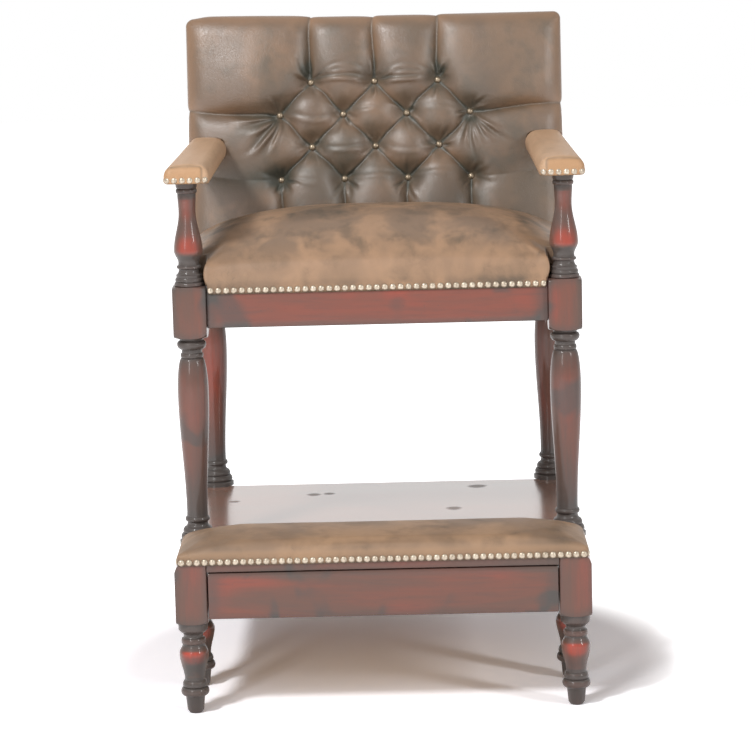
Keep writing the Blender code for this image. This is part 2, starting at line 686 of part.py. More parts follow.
def add_seat_cushion():
    """The domed seat, notched round the arm supports, with leather over the rails."""
    base_z = rail_top_z + GAP
    mesh = cushion_mesh("seat_cushion", seat_leather_x - GAP, seat_front_y + GAP, seat_rear_y,
                        base_z, seat_height, (8, 7), SEAT_DRAW_IN)
    seat = cushion("seat_cushion", mesh, SEAT_LEATHER)
    lower = rail_top_z - SEAT_SKIRT
    upper = base_z + OVERRUN
    reach = POST_WIDTH / 2 + GAP
    end_x = front_leg_x - reach + OVERRUN
    join_box(seat, "seat_front_skirt", (-end_x, seat_front_y, lower),
             (end_x, seat_front_y + LEATHER, upper))
    for side_name, side in SIDES:
        near, far = sorted((side * seat_leather_x, side * (seat_leather_x - LEATHER)))
        join_box(seat, f"seat_{side_name}_skirt", (near, front_leg_y + reach - OVERRUN, lower),
                 (far, seat_rear_y - GAP, upper))
    cut_post_notches(seat, rail_bottom_z, arm_board_z)
    # The exact solver leaves this cushion open where its leather meets the nearly level
    # facets at some sizes of the back, and the solver for closed meshes doesn't.
    for modifier in seat.modifiers:
        if modifier.type == "BOOLEAN":
            modifier.solver = "MANIFOLD"
    rear_x = rear_leg_x - reach
    rear_leather_y = seat_rail_rear_y + GAP
    box("rear_seat_band", (-rear_x, rear_leather_y, lower),
        (rear_x, rear_leather_y + LEATHER, rail_top_z - GAP), SEAT_LEATHER)


def back_places():
    """Places of the tufting's buttons, as distance across and height along the rake."""
    rows = []
    top_w = BACK_HEIGHT - TUFT_TOP_DROP
    for row in range(TUFT_ROWS):
        count = TUFT_WIDE_COUNT - (row + 1) % 2
        first = -TUFT_PITCH * (count - 1) / 2
        rows.append([(first + TUFT_PITCH * index, top_w - TUFT_ROW * row)
                     for index in range(count)])
    return rows


def pleat_lines(rows):
    """Pleats between the buttons, and from the outer buttons to the back's edges."""
    lines = []
    for upper, lower in zip(rows, rows[1:]):
        for start in upper:
            lines += [(start, end) for end in lower
                      if abs(abs(end[0] - start[0]) - TUFT_PITCH / 2) < TUFT_PITCH / 10]
    lines += [(place, (place[0], BACK_HEIGHT)) for place in rows[0]]
    lines += [(place, (place[0], BACK_FOOT)) for place in rows[-1]]
    for row in rows:
        if len(row) == TUFT_WIDE_COUNT:
            lines.append((row[0], (-back_half_width, row[0][1])))
            lines.append((row[-1], (back_half_width, row[-1][1])))
    return lines


def distance_to_line(x, w, line):
    """Distance from a point of the back to a pleat."""
    (ax, aw), (bx, bw) = line
    length = (bx - ax) ** 2 + (bw - aw) ** 2
    share = max(0, min(1, ((x - ax) * (bx - ax) + (w - aw) * (bw - aw)) / length))
    return math.hypot(x - ax - share * (bx - ax), w - aw - share * (bw - aw))


def tufted_depth(x, w, rows, lines):
    """How far the back's padding stands in front of the frame."""
    edge = min(back_half_width - abs(x), BACK_HEIGHT - w)
    roll = min(1, edge / (BACK_FRONT_PADDING * OUTER_ROLL_SHARE))
    rounding = math.sqrt(max(0, 1 - (1 - roll) ** 2))
    pleat = min(distance_to_line(x, w, line) for line in lines)
    button = min(math.hypot(x - bx, w - bw) for row in rows for bx, bw in row)
    dip = (PLEAT_DEPTH * math.exp(-pleat / PLEAT_WIDTH)
           + DIMPLE_DEPTH * math.exp(-(button / DIMPLE_WIDTH) ** 2))
    return BACK_EDGE_PADDING + (BACK_FRONT_PADDING - BACK_EDGE_PADDING - dip) * rounding


def stations(anchor, spacing, low, high):
    """Grid places that fall on the tufting's pattern and end on the back's edges."""
    below = round((anchor - low) / spacing)
    above = round((high - anchor) / spacing)
    inner = [anchor + spacing * index for index in range(1 - below, above)]
    return [low, *inner, high]


def add_back_cushion(rows):
    """Tufted padding that wraps the frame's front, sides and top."""
    across = stations(0, TUFT_PITCH / PLEATS_PER_PITCH, -back_half_width, back_half_width)
    along = stations(rows[0][0][1], TUFT_ROW / PLEATS_PER_ROW, BACK_FOOT, BACK_HEIGHT)
    lines = pleat_lines(rows)
    bm = bmesh.new()
    bmesh.ops.create_grid(bm, x_segments=len(across) - 1, y_segments=len(along) - 1, size=1)
    for vert in bm.verts:
        x = across[round((vert.co.x + 1) / 2 * (len(across) - 1))]
        w = along[round((vert.co.y + 1) / 2 * (len(along) - 1))]
        vert.co = (x, -tufted_depth(x, w, rows, lines), w)
    for face in bm.faces[:]:
        corners = list(face.verts)
        pairs = ((corners[0], corners[2]), (corners[1], corners[3]))
        low = max(pairs, key=lambda pair: pair[0].co.y + pair[1].co.y)
        bmesh.utils.face_split(face, *low)
    rim = [edge for edge in bm.edges if len(edge.link_faces) == 1]
    wall = bmesh.ops.extrude_edge_only(bm, edges=rim)["geom"]
    for vert in (item for item in wall if isinstance(item, bmesh.types.BMVert)):
        vert.co.y = STILE_DEPTH
    rear_rim = [edge for edge in bm.edges if len(edge.link_faces) == 1]
    bmesh.ops.edgeloop_fill(bm, edges=rear_rim)
    bmesh.ops.recalc_face_normals(bm, faces=bm.faces[:])
    pad = add_piece("back_cushion", mesh_from("back_cushion", bm), BACK_LEATHER)
    pad.parent = back_frame
    pocket = cut_box(pad, "back_pocket",
                     (-stile_outer_x - GAP, -GAP, BACK_FOOT - OVERRUN),
                     (stile_outer_x + GAP, STILE_DEPTH + OVERRUN, frame_top_w + GAP))
    pocket.parent = back_frame
    for side_name, side in SIDES:
        guide = add_guide(f"arm_slot_{side_name}", arm_mesh("arm_slot", side, GAP))
        combine(pad, guide, "DIFFERENCE")
    seats = bmesh.new()
    for place in (place for row in rows for place in row):
        floor = tufted_depth(*place, rows, lines) + BUTTON_SEAT_LIFT
        add_stud(seats, Vector((place[0], -floor, place[1])), Vector((0, -1, 0)),
                 BUTTON_RADIUS + GAP, BUTTON_RADIUS + GAP, BACK_FRONT_PADDING, BUTTON_SIDES)
    guide = add_guide("button_seats", mesh_from("button_seats", seats))
    guide.parent = back_frame
    combine(pad, guide, "DIFFERENCE")


def add_stud(bm, place, normal, base_radius, top_radius, height, sides):
    """Add a small round solid that stands on a face, at a place and along its normal."""
    turn = normal.to_track_quat("Z", "Y").to_matrix().to_4x4()
    lift = Matrix.Translation(place) @ turn @ Matrix.Translation((0, 0, height / 2))
    bmesh.ops.create_cone(bm, cap_ends=True, segments=sides, radius1=base_radius,
                          radius2=top_radius, depth=height, matrix=lift)


def add_back_frame():
    """Rails between the stiles, the tufting board, the outside back and the buttons."""
    inner_x = stile_inner_x - GAP
    lower_top = LOWER_RAIL_RISE + LOWER_RAIL_HEIGHT
    upper_bottom = frame_top_w - TOP_RAIL_HEIGHT
    panel_x = back_half_width - OUTSIDE_BACK_MARGIN
    panel_y = STILE_DEPTH + GAP
    for name, low, high, finish in (
            ("back_lower_rail", (-inner_x, 0, LOWER_RAIL_RISE),
             (inner_x, STILE_DEPTH, lower_top), POPLAR),
            ("back_top_rail", (-inner_x, 0, upper_bottom),
             (inner_x, STILE_DEPTH, frame_top_w), POPLAR),
            ("tufting_board", (-inner_x, 0, lower_top + GAP),
             (inner_x, TUFTING_BOARD_THICKNESS, upper_bottom - GAP), PLYWOOD),
            ("outside_back", (-panel_x, panel_y, OUTSIDE_BACK_FOOT),
             (panel_x, panel_y + OUTSIDE_BACK_THICKNESS, outside_back_top_w), BACK_LEATHER)):
        piece = box(name, low, high, finish)
        piece.parent = back_frame


def add_buttons(rows):
    """Domed buttons, one at each crossing of the pleats."""
    lines = pleat_lines(rows)
    bm = bmesh.new()
    add_stud(bm, Vector(), Vector((0, -1, 0)), BUTTON_RADIUS, BUTTON_RADIUS / 2,
             BUTTON_HEIGHT, BUTTON_SIDES)
    mesh = mesh_from("back_button", bm)
    mesh.materials.append(new_material("back_button_finish", ANTIQUE_BRASS))
    for row_number, row in enumerate(rows, 1):
        for number, (x, w) in enumerate(row, 1):
            button = bpy.data.objects.new(f"back_button_{row_number}_{number}", mesh)
            floor = tufted_depth(x, w, rows, lines) + BUTTON_SEAT_LIFT + GAP
            button.location = (x, -floor, w)
            button.parent = back_frame
            chair.objects.link(button)


def arm_rear_y():
    """Where an arm's flat end meets the raked stile, at the arm's underside."""
    height = arm_board_z - ARM_SKIRT - rail_top_z
    return stile_front_y + height * math.tan(BACK_RAKE) - GAP


def arm_outline(side, inset):
    """Plan of an arm: straight inside, tapering outside, with rounded front corners."""
    rear = arm_rear_y()
    front = arm_front_y + inset
    inner = arm_inner_x + inset
    outer_front = arm_inner_x + ARM_FRONT_WIDTH - inset
    outer_rear = arm_inner_x + ARM_REAR_WIDTH - inset
    radius = ARM_CORNER_RADIUS - inset
    points = [(inner, rear)]
    for centre_x, start in ((inner + radius, math.pi), (outer_front - radius, math.pi * 1.5)):
        for step in range(CURVE_STEPS + 1):
            angle = start + math.pi / 2 * step / CURVE_STEPS
            points.append((centre_x + radius * math.cos(angle),
                           front + radius + radius * math.sin(angle)))
    points.append((outer_rear, rear))
    return [(side * x, y) for x, y in points]


def arm_mesh(name, side, outset=0):
    """An arm's padding before its pocket is cut, its top edges rounded over."""
    bottom = arm_board_z - ARM_SKIRT - outset
    top = arm_board_z + ARM_BOARD_THICKNESS + ARM_CROWN + outset
    bm = bmesh.new()
    verts = [bm.verts.new((x, y, bottom)) for x, y in arm_outline(side, -outset)]
    floor = bm.faces.new(verts)
    top_face = bmesh.ops.extrude_face_region(bm, geom=[floor])["geom"]
    raised = [item for item in top_face if isinstance(item, bmesh.types.BMVert)]
    for vert in raised:
        vert.co.z = top
    rim = [edge for edge in bm.edges if all(vert in raised for vert in edge.verts)]
    if not outset:
        bmesh.ops.bevel(bm, geom=rim, offset=ARM_CORNER_RADIUS * ARM_ROLL_SHARE,
                        segments=CURVE_STEPS, profile=0.5, affect="EDGES")
    bmesh.ops.recalc_face_normals(bm, faces=bm.faces[:])
    return mesh_from(name, bm)


def add_arms():
    """Arm boards under leather padding, from the arm supports back to the stiles."""
    for side_name, side in SIDES:
        board_outline = arm_outline(side, ARM_WALL)
        plate(f"arm_board_{side_name}", board_outline, arm_board_z, ARM_BOARD_THICKNESS, POPLAR)
        name = f"arm_pad_{side_name}"
        pad = add_piece(name, arm_mesh(name, side), ARM_LEATHER)
        pocket = bmesh.new()
        inset = ARM_WALL - GAP
        verts = [pocket.verts.new((x, y, arm_board_z - ARM_SKIRT - OVERRUN))
                 for x, y in pocket_outline(side, inset)]
        floor = pocket.faces.new(verts)
        raised = bmesh.ops.extrude_face_region(pocket, geom=[floor])["geom"]
        for vert in (item for item in raised if isinstance(item, bmesh.types.BMVert)):
            vert.co.z = arm_board_z + ARM_BOARD_THICKNESS + GAP
        bmesh.ops.recalc_face_normals(pocket, faces=pocket.faces[:])
        combine(pad, add_guide(name + "_pocket", mesh_from(name + "_pocket", pocket)),
                "DIFFERENCE")


def pocket_outline(side, inset):
    """The arm board's outline with a little room, run out past the arm's rear end."""
    points = arm_outline(side, inset)
    rear = arm_rear_y() + OVERRUN
    return [(x, rear) if index in (0, len(points) - 1) else (x, y)
            for index, (x, y) in enumerate(points)]


clear_scene()
chair = new_collection("spectator_chair")
guides = new_collection("cutters_and_guides")
back_frame = bpy.data.objects.new("back_frame_axis", None)
back_frame.location = (0, stile_front_y, rail_top_z)
back_frame.rotation_euler = (-BACK_RAKE, 0, 0)
guides.objects.link(back_frame)

tuft_rows = back_places()
add_feet()
add_platform()
add_drawer()
add_legs()
add_seat_frame()
add_back_frame()
add_back_cushion(tuft_rows)
add_buttons(tuft_rows)
add_arms()
add_footrest_pad()
add_seat_cushion()
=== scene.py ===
"""Looks of a bar-height armchair with a padded footrest, a drawer and a tufted back.

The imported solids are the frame: each piece made here stands where its node stands. Units
are metres, +Z is up, the sitter faces -Y and left is -X.
"""

import logging
import math
from dataclasses import dataclass, field
from enum import Enum
from typing import Callable, Iterable, Sequence

import bmesh
import bpy
import numpy as np
from bpy.types import ID, Material, Mesh, NodeSocket, NodeTree, Object, Scene
from mathutils import Matrix, Vector


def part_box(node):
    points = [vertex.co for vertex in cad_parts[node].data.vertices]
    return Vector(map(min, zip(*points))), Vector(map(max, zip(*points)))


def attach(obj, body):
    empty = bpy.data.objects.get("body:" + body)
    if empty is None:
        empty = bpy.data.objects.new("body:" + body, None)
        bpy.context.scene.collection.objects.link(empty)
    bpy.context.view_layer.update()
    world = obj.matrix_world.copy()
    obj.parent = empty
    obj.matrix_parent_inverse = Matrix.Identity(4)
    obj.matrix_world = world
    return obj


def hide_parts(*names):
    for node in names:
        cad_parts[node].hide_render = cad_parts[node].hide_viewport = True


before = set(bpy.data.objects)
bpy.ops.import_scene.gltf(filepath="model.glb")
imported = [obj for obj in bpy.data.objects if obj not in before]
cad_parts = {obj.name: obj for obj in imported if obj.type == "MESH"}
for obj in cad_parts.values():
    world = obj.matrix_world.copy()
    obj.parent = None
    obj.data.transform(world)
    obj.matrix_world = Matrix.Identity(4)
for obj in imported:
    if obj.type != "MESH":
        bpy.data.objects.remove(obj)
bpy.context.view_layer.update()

log = logging.getLogger("armchair")

Array = np.ndarray
Pair = tuple[float, float]
Triple = tuple[float, float, float]
Colour = Triple
Table = Sequence[tuple]
Row = tuple[list[Vector], list[Vector]]  # points, and the way each faces
SIDES = (("left", -1), ("right", 1))

# Sizes shared by several sub-assemblies
GAP = 0.0003
LEATHER = 0.002
BOARD_TOP = 0.240
BASE_TOP = 0.258
POST_BOTTOM = 0.582
POST_TOP = 0.666
RAIL_TOP = 0.668
POST_WIDTH = 0.054
BLOCK_WIDTH = 0.051
FRONT_LEG_Y = -0.18681
REAR_LEG_Y = 0.28969
SUPPORT_LENGTH = 0.1695
ARM_BOARD_BOTTOM = POST_TOP + SUPPORT_LENGTH + GAP
STILE_FRONT_Y = 0.28669
BACK_RAKE = math.radians(8)
BACK_HEIGHT = 0.405
SHARP_ANGLE = 40.0  # degrees past which an edge of turned work stays sharp


def ease(low: float, high: float, value: Array) -> Array:
    """Ease values from 0 at low to 1 at high.

    Args:
        low: Value that gives 0.
        high: Value that gives 1.
        value: Values to ease.

    Returns:
        The eased values.
    """
    share = np.clip((value - low) / (high - low), 0.0, 1.0)
    return share * share * (3.0 - 2.0 * share)


def quarter_round(distance: Array, reach: float | Array) -> Array:
    """Rise of a rounded edge, upright at the edge and level at its reach.

    Args:
        distance: Distances from the edge.
        reach: Distance over which the edge rounds.

    Returns:
        Shares of the full height.
    """
    share = np.clip(distance / reach, 0.0, 1.0)
    return np.sqrt(np.clip(1.0 - (1.0 - share) ** 2, 0.0, 1.0))


def linked(name: str, data: ID) -> Object:
    """Put an object of the data in the scene."""
    made = bpy.data.objects.new(name, data)
    bpy.context.scene.collection.objects.link(made)
    return made


def mirrored(right: Table) -> list[Triple]:
    """Corners of a whole outline.

    Args:
        right: Corners on its right, from the front to the rear, as x, y and radius.

    Returns:
        The corners, anticlockwise from the left front one.
    """
    left = [(-x, y, radius) for x, y, radius in reversed(right)]
    return [left[-1], *right, *left[:-1]]


class Grain(Enum):
    """Way the wood's grain runs, as the squeeze of its pattern along each axis."""

    ACROSS = (0.10, 1.0, 1.0)
    DEPTH = (1.0, 0.10, 1.0)
    UPRIGHT = (1.0, 1.0, 0.10)


class Wire:
    """A node's output that takes part in arithmetic."""

    def __init__(self, nodes: "Nodes", socket: NodeSocket) -> None:
        """Hold the output and the tree that it belongs to."""
        self.nodes = nodes
        self.socket = socket

    def _math(self, operation: str, *values: "Wire | float") -> "Wire":
        """Add a Math node that works on the values."""
        return self.nodes.node("ShaderNodeMath", {"operation": operation},
                               dict(enumerate(values)))

    def __add__(self, other: "Wire | float") -> "Wire":
        """Add."""
        return self._math("ADD", self, other)

    def __sub__(self, other: "Wire | float") -> "Wire":
        """Subtract."""
        return self._math("SUBTRACT", self, other)

    def __rsub__(self, other: float) -> "Wire":
        """Subtract from a number."""
        return self._math("SUBTRACT", other, self)

    def __mul__(self, other: "Wire | float") -> "Wire":
        """Multiply."""
        return self._math("MULTIPLY", self, other)

    __radd__ = __add__
    __rmul__ = __mul__

    def ease(self, low: float, high: float) -> "Wire":
        """Ease from 0 at low to 1 at high, also where high is the lower one."""
        span = {"From Min": low, "From Max": high, "To Min": 0.0, "To Max": 1.0}
        if low > high:
            span = {"From Min": high, "From Max": low, "To Min": 1.0, "To Max": 0.0}
        return self.nodes.node("ShaderNodeMapRange", {"interpolation_type": "SMOOTHSTEP"},
                               {"Value": self, **span})

    def clamped(self) -> "Wire":
        """Hold between 0 and 1."""
        return self.nodes.node("ShaderNodeClamp", {}, {"Value": self})


class Nodes:
    """A tree of nodes that are added by value."""

    def __init__(self, tree: NodeTree) -> None:
        """Hold the tree."""
        self.tree = tree

    def node(self, kind: str, settings: dict | None = None, values: dict | None = None,
             output: int | str = 0) -> Wire:
        """Add a node, with its settings before its sockets.

        Args:
            kind: Node type.
            settings: Properties of the node.
            values: Numbers, colours or wires for its sockets, by name or number.
            output: Which output to return.

        Returns:
            The output, ready for arithmetic.
        """
        node = self.tree.nodes.new(kind)
        for name, value in (settings or {}).items():
            setattr(node, name, value)
        for key, value in (values or {}).items():
            if isinstance(value, Wire):
                self.tree.links.new(value.socket, node.inputs[key])
            elif isinstance(value, tuple) and node.inputs[key].type == "RGBA":
                node.inputs[key].default_value = (*value, 1.0)
            else:
                node.inputs[key].default_value = value
        return Wire(self, node.outputs[output])

    def seen(self) -> Wire:
        """1 for rays from the camera, a gloss or a clear piece, and 0 for light's own."""
        camera, glossy, through = (self.node("ShaderNodeLightPath", output=f"Is {kind} Ray")
                                   for kind in ("Camera", "Glossy", "Transmission"))
        return (camera + glossy + through).clamped()

    def glow(self, colour: Colour, strength: float, kind: str = "ShaderNodeEmission") -> Wire:
        """Plain light of one colour."""
        return self.node(kind, {}, {"Color": colour, "Strength": strength})

    def blend(self, share: Wire, first: Wire, second: Wire) -> Wire:
        """Blend two whole surfaces."""
        return self.node("ShaderNodeMixShader", {}, {0: share, 1: first, 2: second})

    def place(self, squeeze: Sequence[float] = (1.0, 1.0, 1.0)) -> Wire:
        """Place on the piece in metres, squeezed along each axis."""
        here = self.node("ShaderNodeTexCoord", output="Object")
        return self.node("ShaderNodeMapping", {}, {"Vector": here, "Scale": tuple(squeeze)})

    def noise(self, place: Wire, scale: float, detail: float = 3.0, roughness: float = 0.5,
              distortion: float = 0.0) -> Wire:
        """Cloudy pattern of about 0 to 1."""
        return self.node("ShaderNodeTexNoise", {},
                         {"Vector": place, "Scale": scale, "Detail": detail,
                          "Roughness": roughness, "Distortion": distortion})

    def cells(self, place: Wire, scale: float, feature: str = "F1") -> Wire:
        """Distance to the cells' centres, or to their edges."""
        return self.node("ShaderNodeTexVoronoi", {"feature": feature},
                         {"Vector": place, "Scale": scale}, output="Distance")

    def reach(self, place: Wire, centre: Sequence[float]) -> Wire:
        """Distance from a point."""
        return self.node("ShaderNodeVectorMath", {"operation": "DISTANCE"},
                         {0: place, 1: tuple(centre)}, output="Value")

    def carried(self, name: str) -> Wire:
        """Value that the mesh carries at each point."""
        return self.node("ShaderNodeAttribute", {"attribute_name": name}, output="Fac")

    def mix(self, share: Wire | float, first: Wire | Colour, second: Wire | Colour) -> Wire:
        """Blend two colours."""
        return self.node("ShaderNodeMix", {"data_type": "RGBA"},
                         {0: share, 6: first, 7: second}, output=2)

    def bump(self, height: Wire, distance: float, strength: float = 1.0,
             under: Wire | None = None) -> Wire:
        """Raise the surface by a height pattern."""
        values = {"Height": height, "Distance": distance, "Strength": strength}
        if under is not None:
            values["Normal"] = under
        return self.node("ShaderNodeBump", {}, values)


class Shader(Nodes):
    """A material with one main surface."""

    def __init__(self, name: str) -> None:
        """Make the material and find its surface shader."""
        self.material = bpy.data.materials.new(name)
        self.material.use_nodes = True
        super().__init__(self.material.node_tree)
        self.surface = self.tree.nodes["Principled BSDF"]

    def finish(self, **sockets: Wire | float | Colour) -> Material:
        """Feed the surface shader's sockets, named with _ for a space."""
        for name, value in sockets.items():
            socket = self.surface.inputs[name.replace("_", " ")]
            if isinstance(value, Wire):
                self.tree.links.new(value.socket, socket)
            elif isinstance(value, tuple):
                socket.default_value = (*value, 1.0)
            else:
                socket.default_value = value
        return self.material

    def dull_spots(self, share: Wire, colour: Colour) -> None:
        """Lay a dull colour over parts of the surface.

        Args:
            share: Where it lies.
            colour: The dull colour.
        """
        dull = self.node("ShaderNodeBsdfDiffuse", {}, {"Color": colour})
        both = self.blend(share, Wire(self, self.surface.outputs[0]), dull)
        output = self.tree.nodes["Material Output"].inputs["Surface"]
        self.tree.links.new(both.socket, output)


@dataclass(frozen=True)
class StainedWood:
    """Red-brown stain, rubbed bright on the swells, with dark glaze in the hollows."""

    name: str = "stained_wood"
    brown: Colour = (0.134, 0.076, 0.058)
    red: Colour = (0.205, 0.076, 0.053)
    rubbed: Colour = (0.470, 0.070, 0.044)
    glaze: Colour = (0.079, 0.068, 0.063)
    coat: float = 0.40
    coat_roughness: float = 0.09
    coat_ior: float = 1.5
    specular: float = 0.2
    dull: float = 0.30
    blotch: float = 0.65
    knots: tuple[Triple, ...] = ()
    knot_share: float = 0.62
    knot_heart: float = 0.45
    knot_stray: float = 1.3
    streak_scale: float = 150.0
    streak_share: float = 0.26
    figure_scale: float = 24.0
    patch_scale: float = 13.0
    patch_wear: float = 1.10
    flat_wear: float = 0.08
    swell_wear: float = 0.58
    blotch_scale: float = 12.0
    speck_scale: float = 150.0
    dent_scale: float = 34.0
    dent_depth: float = 0.0006
    pore_depth: float = 0.00025

    def material(self, grain: Grain) -> Material:
        """Build the finish with its grain one way.

        Args:
            grain: Way the grain runs.

        Returns:
            The material.
        """
        shader = Shader(f"{self.name}_{grain.name.lower()}")
        here = shader.place()
        drawn = shader.place(grain.value)
        streak = shader.noise(drawn, self.streak_scale, 4.0, 0.62, 0.3)
        figure = shader.noise(drawn, self.figure_scale, 5.0, 0.55, 0.8)
        patch = shader.noise(shader.place([0.3 + 0.7 * part for part in grain.value]),
                             self.patch_scale, 2.0, 0.5, 0.3)
        hollow = shader.carried("glaze")
        swell = shader.carried("rub")
        colour = shader.mix(figure.ease(0.36, 0.66), self.brown, self.red)
        bright = patch.ease(0.50, 0.70) * self.patch_wear + self.flat_wear
        bright = bright * swell + swell.ease(0.30, 0.95) * self.swell_wear
        bright = (bright * (1.0 - hollow)).clamped()
        colour = shader.mix(bright, colour, self.rubbed)
        colour = shader.mix(streak.ease(0.44, 0.74) * self.streak_share, colour, self.glaze)
        stain = shader.noise(here, self.blotch_scale, 2.0, 0.5, 0.4).ease(0.57, 0.68)
        specks = shader.cells(here, self.speck_scale).ease(0.16, 0.08)
        specks = specks * shader.noise(here, 60.0, 1.0).ease(0.50, 0.62)
        dark = hollow * 0.94 + stain * self.blotch + specks * 0.5
        knots: Wire | float = 0.0
        for x, y, radius in self.knots:
            stray = (figure - 0.5) * (radius * self.knot_stray)
            away = shader.reach(here, (x, y, BOARD_TOP)) + stray
            knots = away.ease(radius, radius * self.knot_heart) + knots
        colour = shader.mix(dark.clamped(), colour, self.glaze)
        gloss = self.dull * (1.0 + 0.45 * figure + 0.40 * hollow + 0.30 * streak)
        dents = shader.cells(shader.place([0.5 + 0.5 * part for part in grain.value]),
                             self.dent_scale)
        relief = shader.bump(dents.ease(0.10, 0.0), self.dent_depth, 0.5)
        relief = shader.bump(streak, self.pore_depth, 0.35, relief)
        if self.knots:
            shader.dull_spots(knots.clamped() * self.knot_share, self.glaze)
        return shader.finish(Base_Color=colour, Roughness=gloss, Normal=relief,
                             Coat_Weight=self.coat, Coat_Roughness=self.coat_roughness,
                             Coat_IOR=self.coat_ior, Specular_IOR_Level=self.specular)


@dataclass(frozen=True)
class BareWood:
    """Planed softwood or plywood inside the frame."""

    name: str
    light: Colour
    dark: Colour
    plies: bool = False
    figure_scale: float = 60.0
    pore_scale: float = 420.0
    pore_depth: float = 0.0002
    ply_scale: float = 95.0

    def material(self, grain: Grain) -> Material:
        """Build the finish with its grain one way.

        Args:
            grain: Way the grain runs.

        Returns:
            The material.
        """
        shader = Shader(f"{self.name}_{grain.name.lower()}")
        drawn = shader.place(grain.value)
        figure = shader.noise(drawn, self.figure_scale, 5.0, 0.6, 1.2)
        pores = shader.noise(drawn, self.pore_scale, 2.0, 0.5)
        share = figure.ease(0.35, 0.7) * 0.8 + pores.ease(0.55, 0.8) * 0.3
        if self.plies:
            layer = shader.node("ShaderNodeTexWave", {"bands_direction": "Z"},
                                {"Vector": shader.place(), "Scale": self.ply_scale},
                                output="Fac")
            share = share + layer * 0.15
        colour = shader.mix(share.clamped(), self.light, self.dark)
        relief = shader.bump(pores, self.pore_depth, 0.5)
        return shader.finish(Base_Color=colour, Roughness=0.62 + 0.15 * figure, Normal=relief)


@dataclass(frozen=True)
class Leather:
    """Antiqued leather: cloudy colour, pebbled grain, painted shade in creases and shadows,
    and rubbed ridges.
    """

    name: str
    light: Colour
    middle: Colour
    dark: Colour
    # colour of the painted shade in creases, button pits and cast shadows
    fold: Colour = (0.058, 0.058, 0.044)
    tan: Colour = (0.600, 0.330, 0.160)
    cloud_scale: float = 14.0
    gloss: float = 0.42
    coat: float = 0.08
    mottle: float = 1.0
    pull: float = 0.0012
    shine: float = 0.45
    stretch: Triple = (1.0, 1.0, 1.0)
    pebble_scale: float = 620.0
    pebble_depth: float = 0.00018
    crease_scale: float = 110.0
    crease_depth: float = 0.0003
    coat_roughness: float = 0.36

    def material(self) -> Material:
        """Build the finish."""
        shader = Shader(self.name)
        here = shader.place(self.stretch)
        cloud = shader.noise(here, self.cloud_scale, 3.0, 0.5, 0.3)
        wisp = shader.noise(here, self.cloud_scale * 2.0, 3.0, 0.5, 0.2)
        smudge = shader.noise(here, self.cloud_scale * 0.7, 3.0, 0.55)
        grain = shader.cells(shader.place(), self.pebble_scale, "DISTANCE_TO_EDGE")
        creases = shader.cells(shader.place((1.0, 1.0, 0.8)), self.crease_scale,
                               "DISTANCE_TO_EDGE")
        colour = shader.mix(cloud.ease(0.38, 0.64) * self.mottle, self.middle, self.light)
        dim = wisp.ease(0.44, 0.76) * 0.55 + smudge.ease(0.46, 0.68) * 0.55
        colour = shader.mix((dim * self.mottle).clamped(), colour, self.dark)
        rubbed = shader.carried("rub") * (0.45 + 0.55 * cloud)
        colour = shader.mix(rubbed.clamped(), colour, self.light)
        colour = shader.mix(shader.carried("glaze"), colour, self.tan)
        fine = creases.ease(0.04, 0.0) * wisp.ease(0.48, 0.7)
        # painted shade from the mesh's marks in creases, pits and shadows, with faint dark
        # grain creases
        shade = (shader.carried("fold") * (0.72 + 0.60 * wisp) + fine * 0.16).clamped()
        colour = shader.mix(shade, colour, self.fold)
        pebble = grain.ease(0.0, 0.32)
        relief = shader.bump(wisp, self.pull, 0.35)
        relief = shader.bump(creases.ease(0.0, 0.07), self.crease_depth, 0.25, relief)
        relief = shader.bump(pebble, self.pebble_depth, 0.45, relief)
        rough = self.gloss + 0.16 * wisp + 0.14 * shader.carried("fold") - 0.05 * pebble
        return shader.finish(Base_Color=colour, Roughness=rough, Normal=relief,
                             Coat_Weight=self.coat,
                             Coat_Roughness=self.coat_roughness,
                             Specular_IOR_Level=self.shine)


@dataclass(frozen=True)
class Brass:
    """Soft antique brass of the nails and buttons."""

    name: str = "antique_brass"
    bright: Colour = (0.540, 0.465, 0.370)
    dull: Colour = (0.270, 0.215, 0.155)
    metallic: float = 0.60
    tarnish_scale: float = 200.0
    tarnish_depth: float = 0.0002

    def material(self) -> Material:
        """Build the finish."""
        shader = Shader(self.name)
        tarnish = shader.noise(shader.place(), self.tarnish_scale, 3.0, 0.6)
        tone = shader.carried("tone")
        share = (tarnish.ease(0.42, 0.75) * 0.55 + tone * 0.35).clamped()
        colour = shader.mix(share, self.bright, self.dull)
        relief = shader.bump(tarnish, self.tarnish_depth, 0.3)
        return shader.finish(Base_Color=colour, Metallic=self.metallic, Normal=relief,
                             Roughness=0.26 + 0.20 * tarnish)


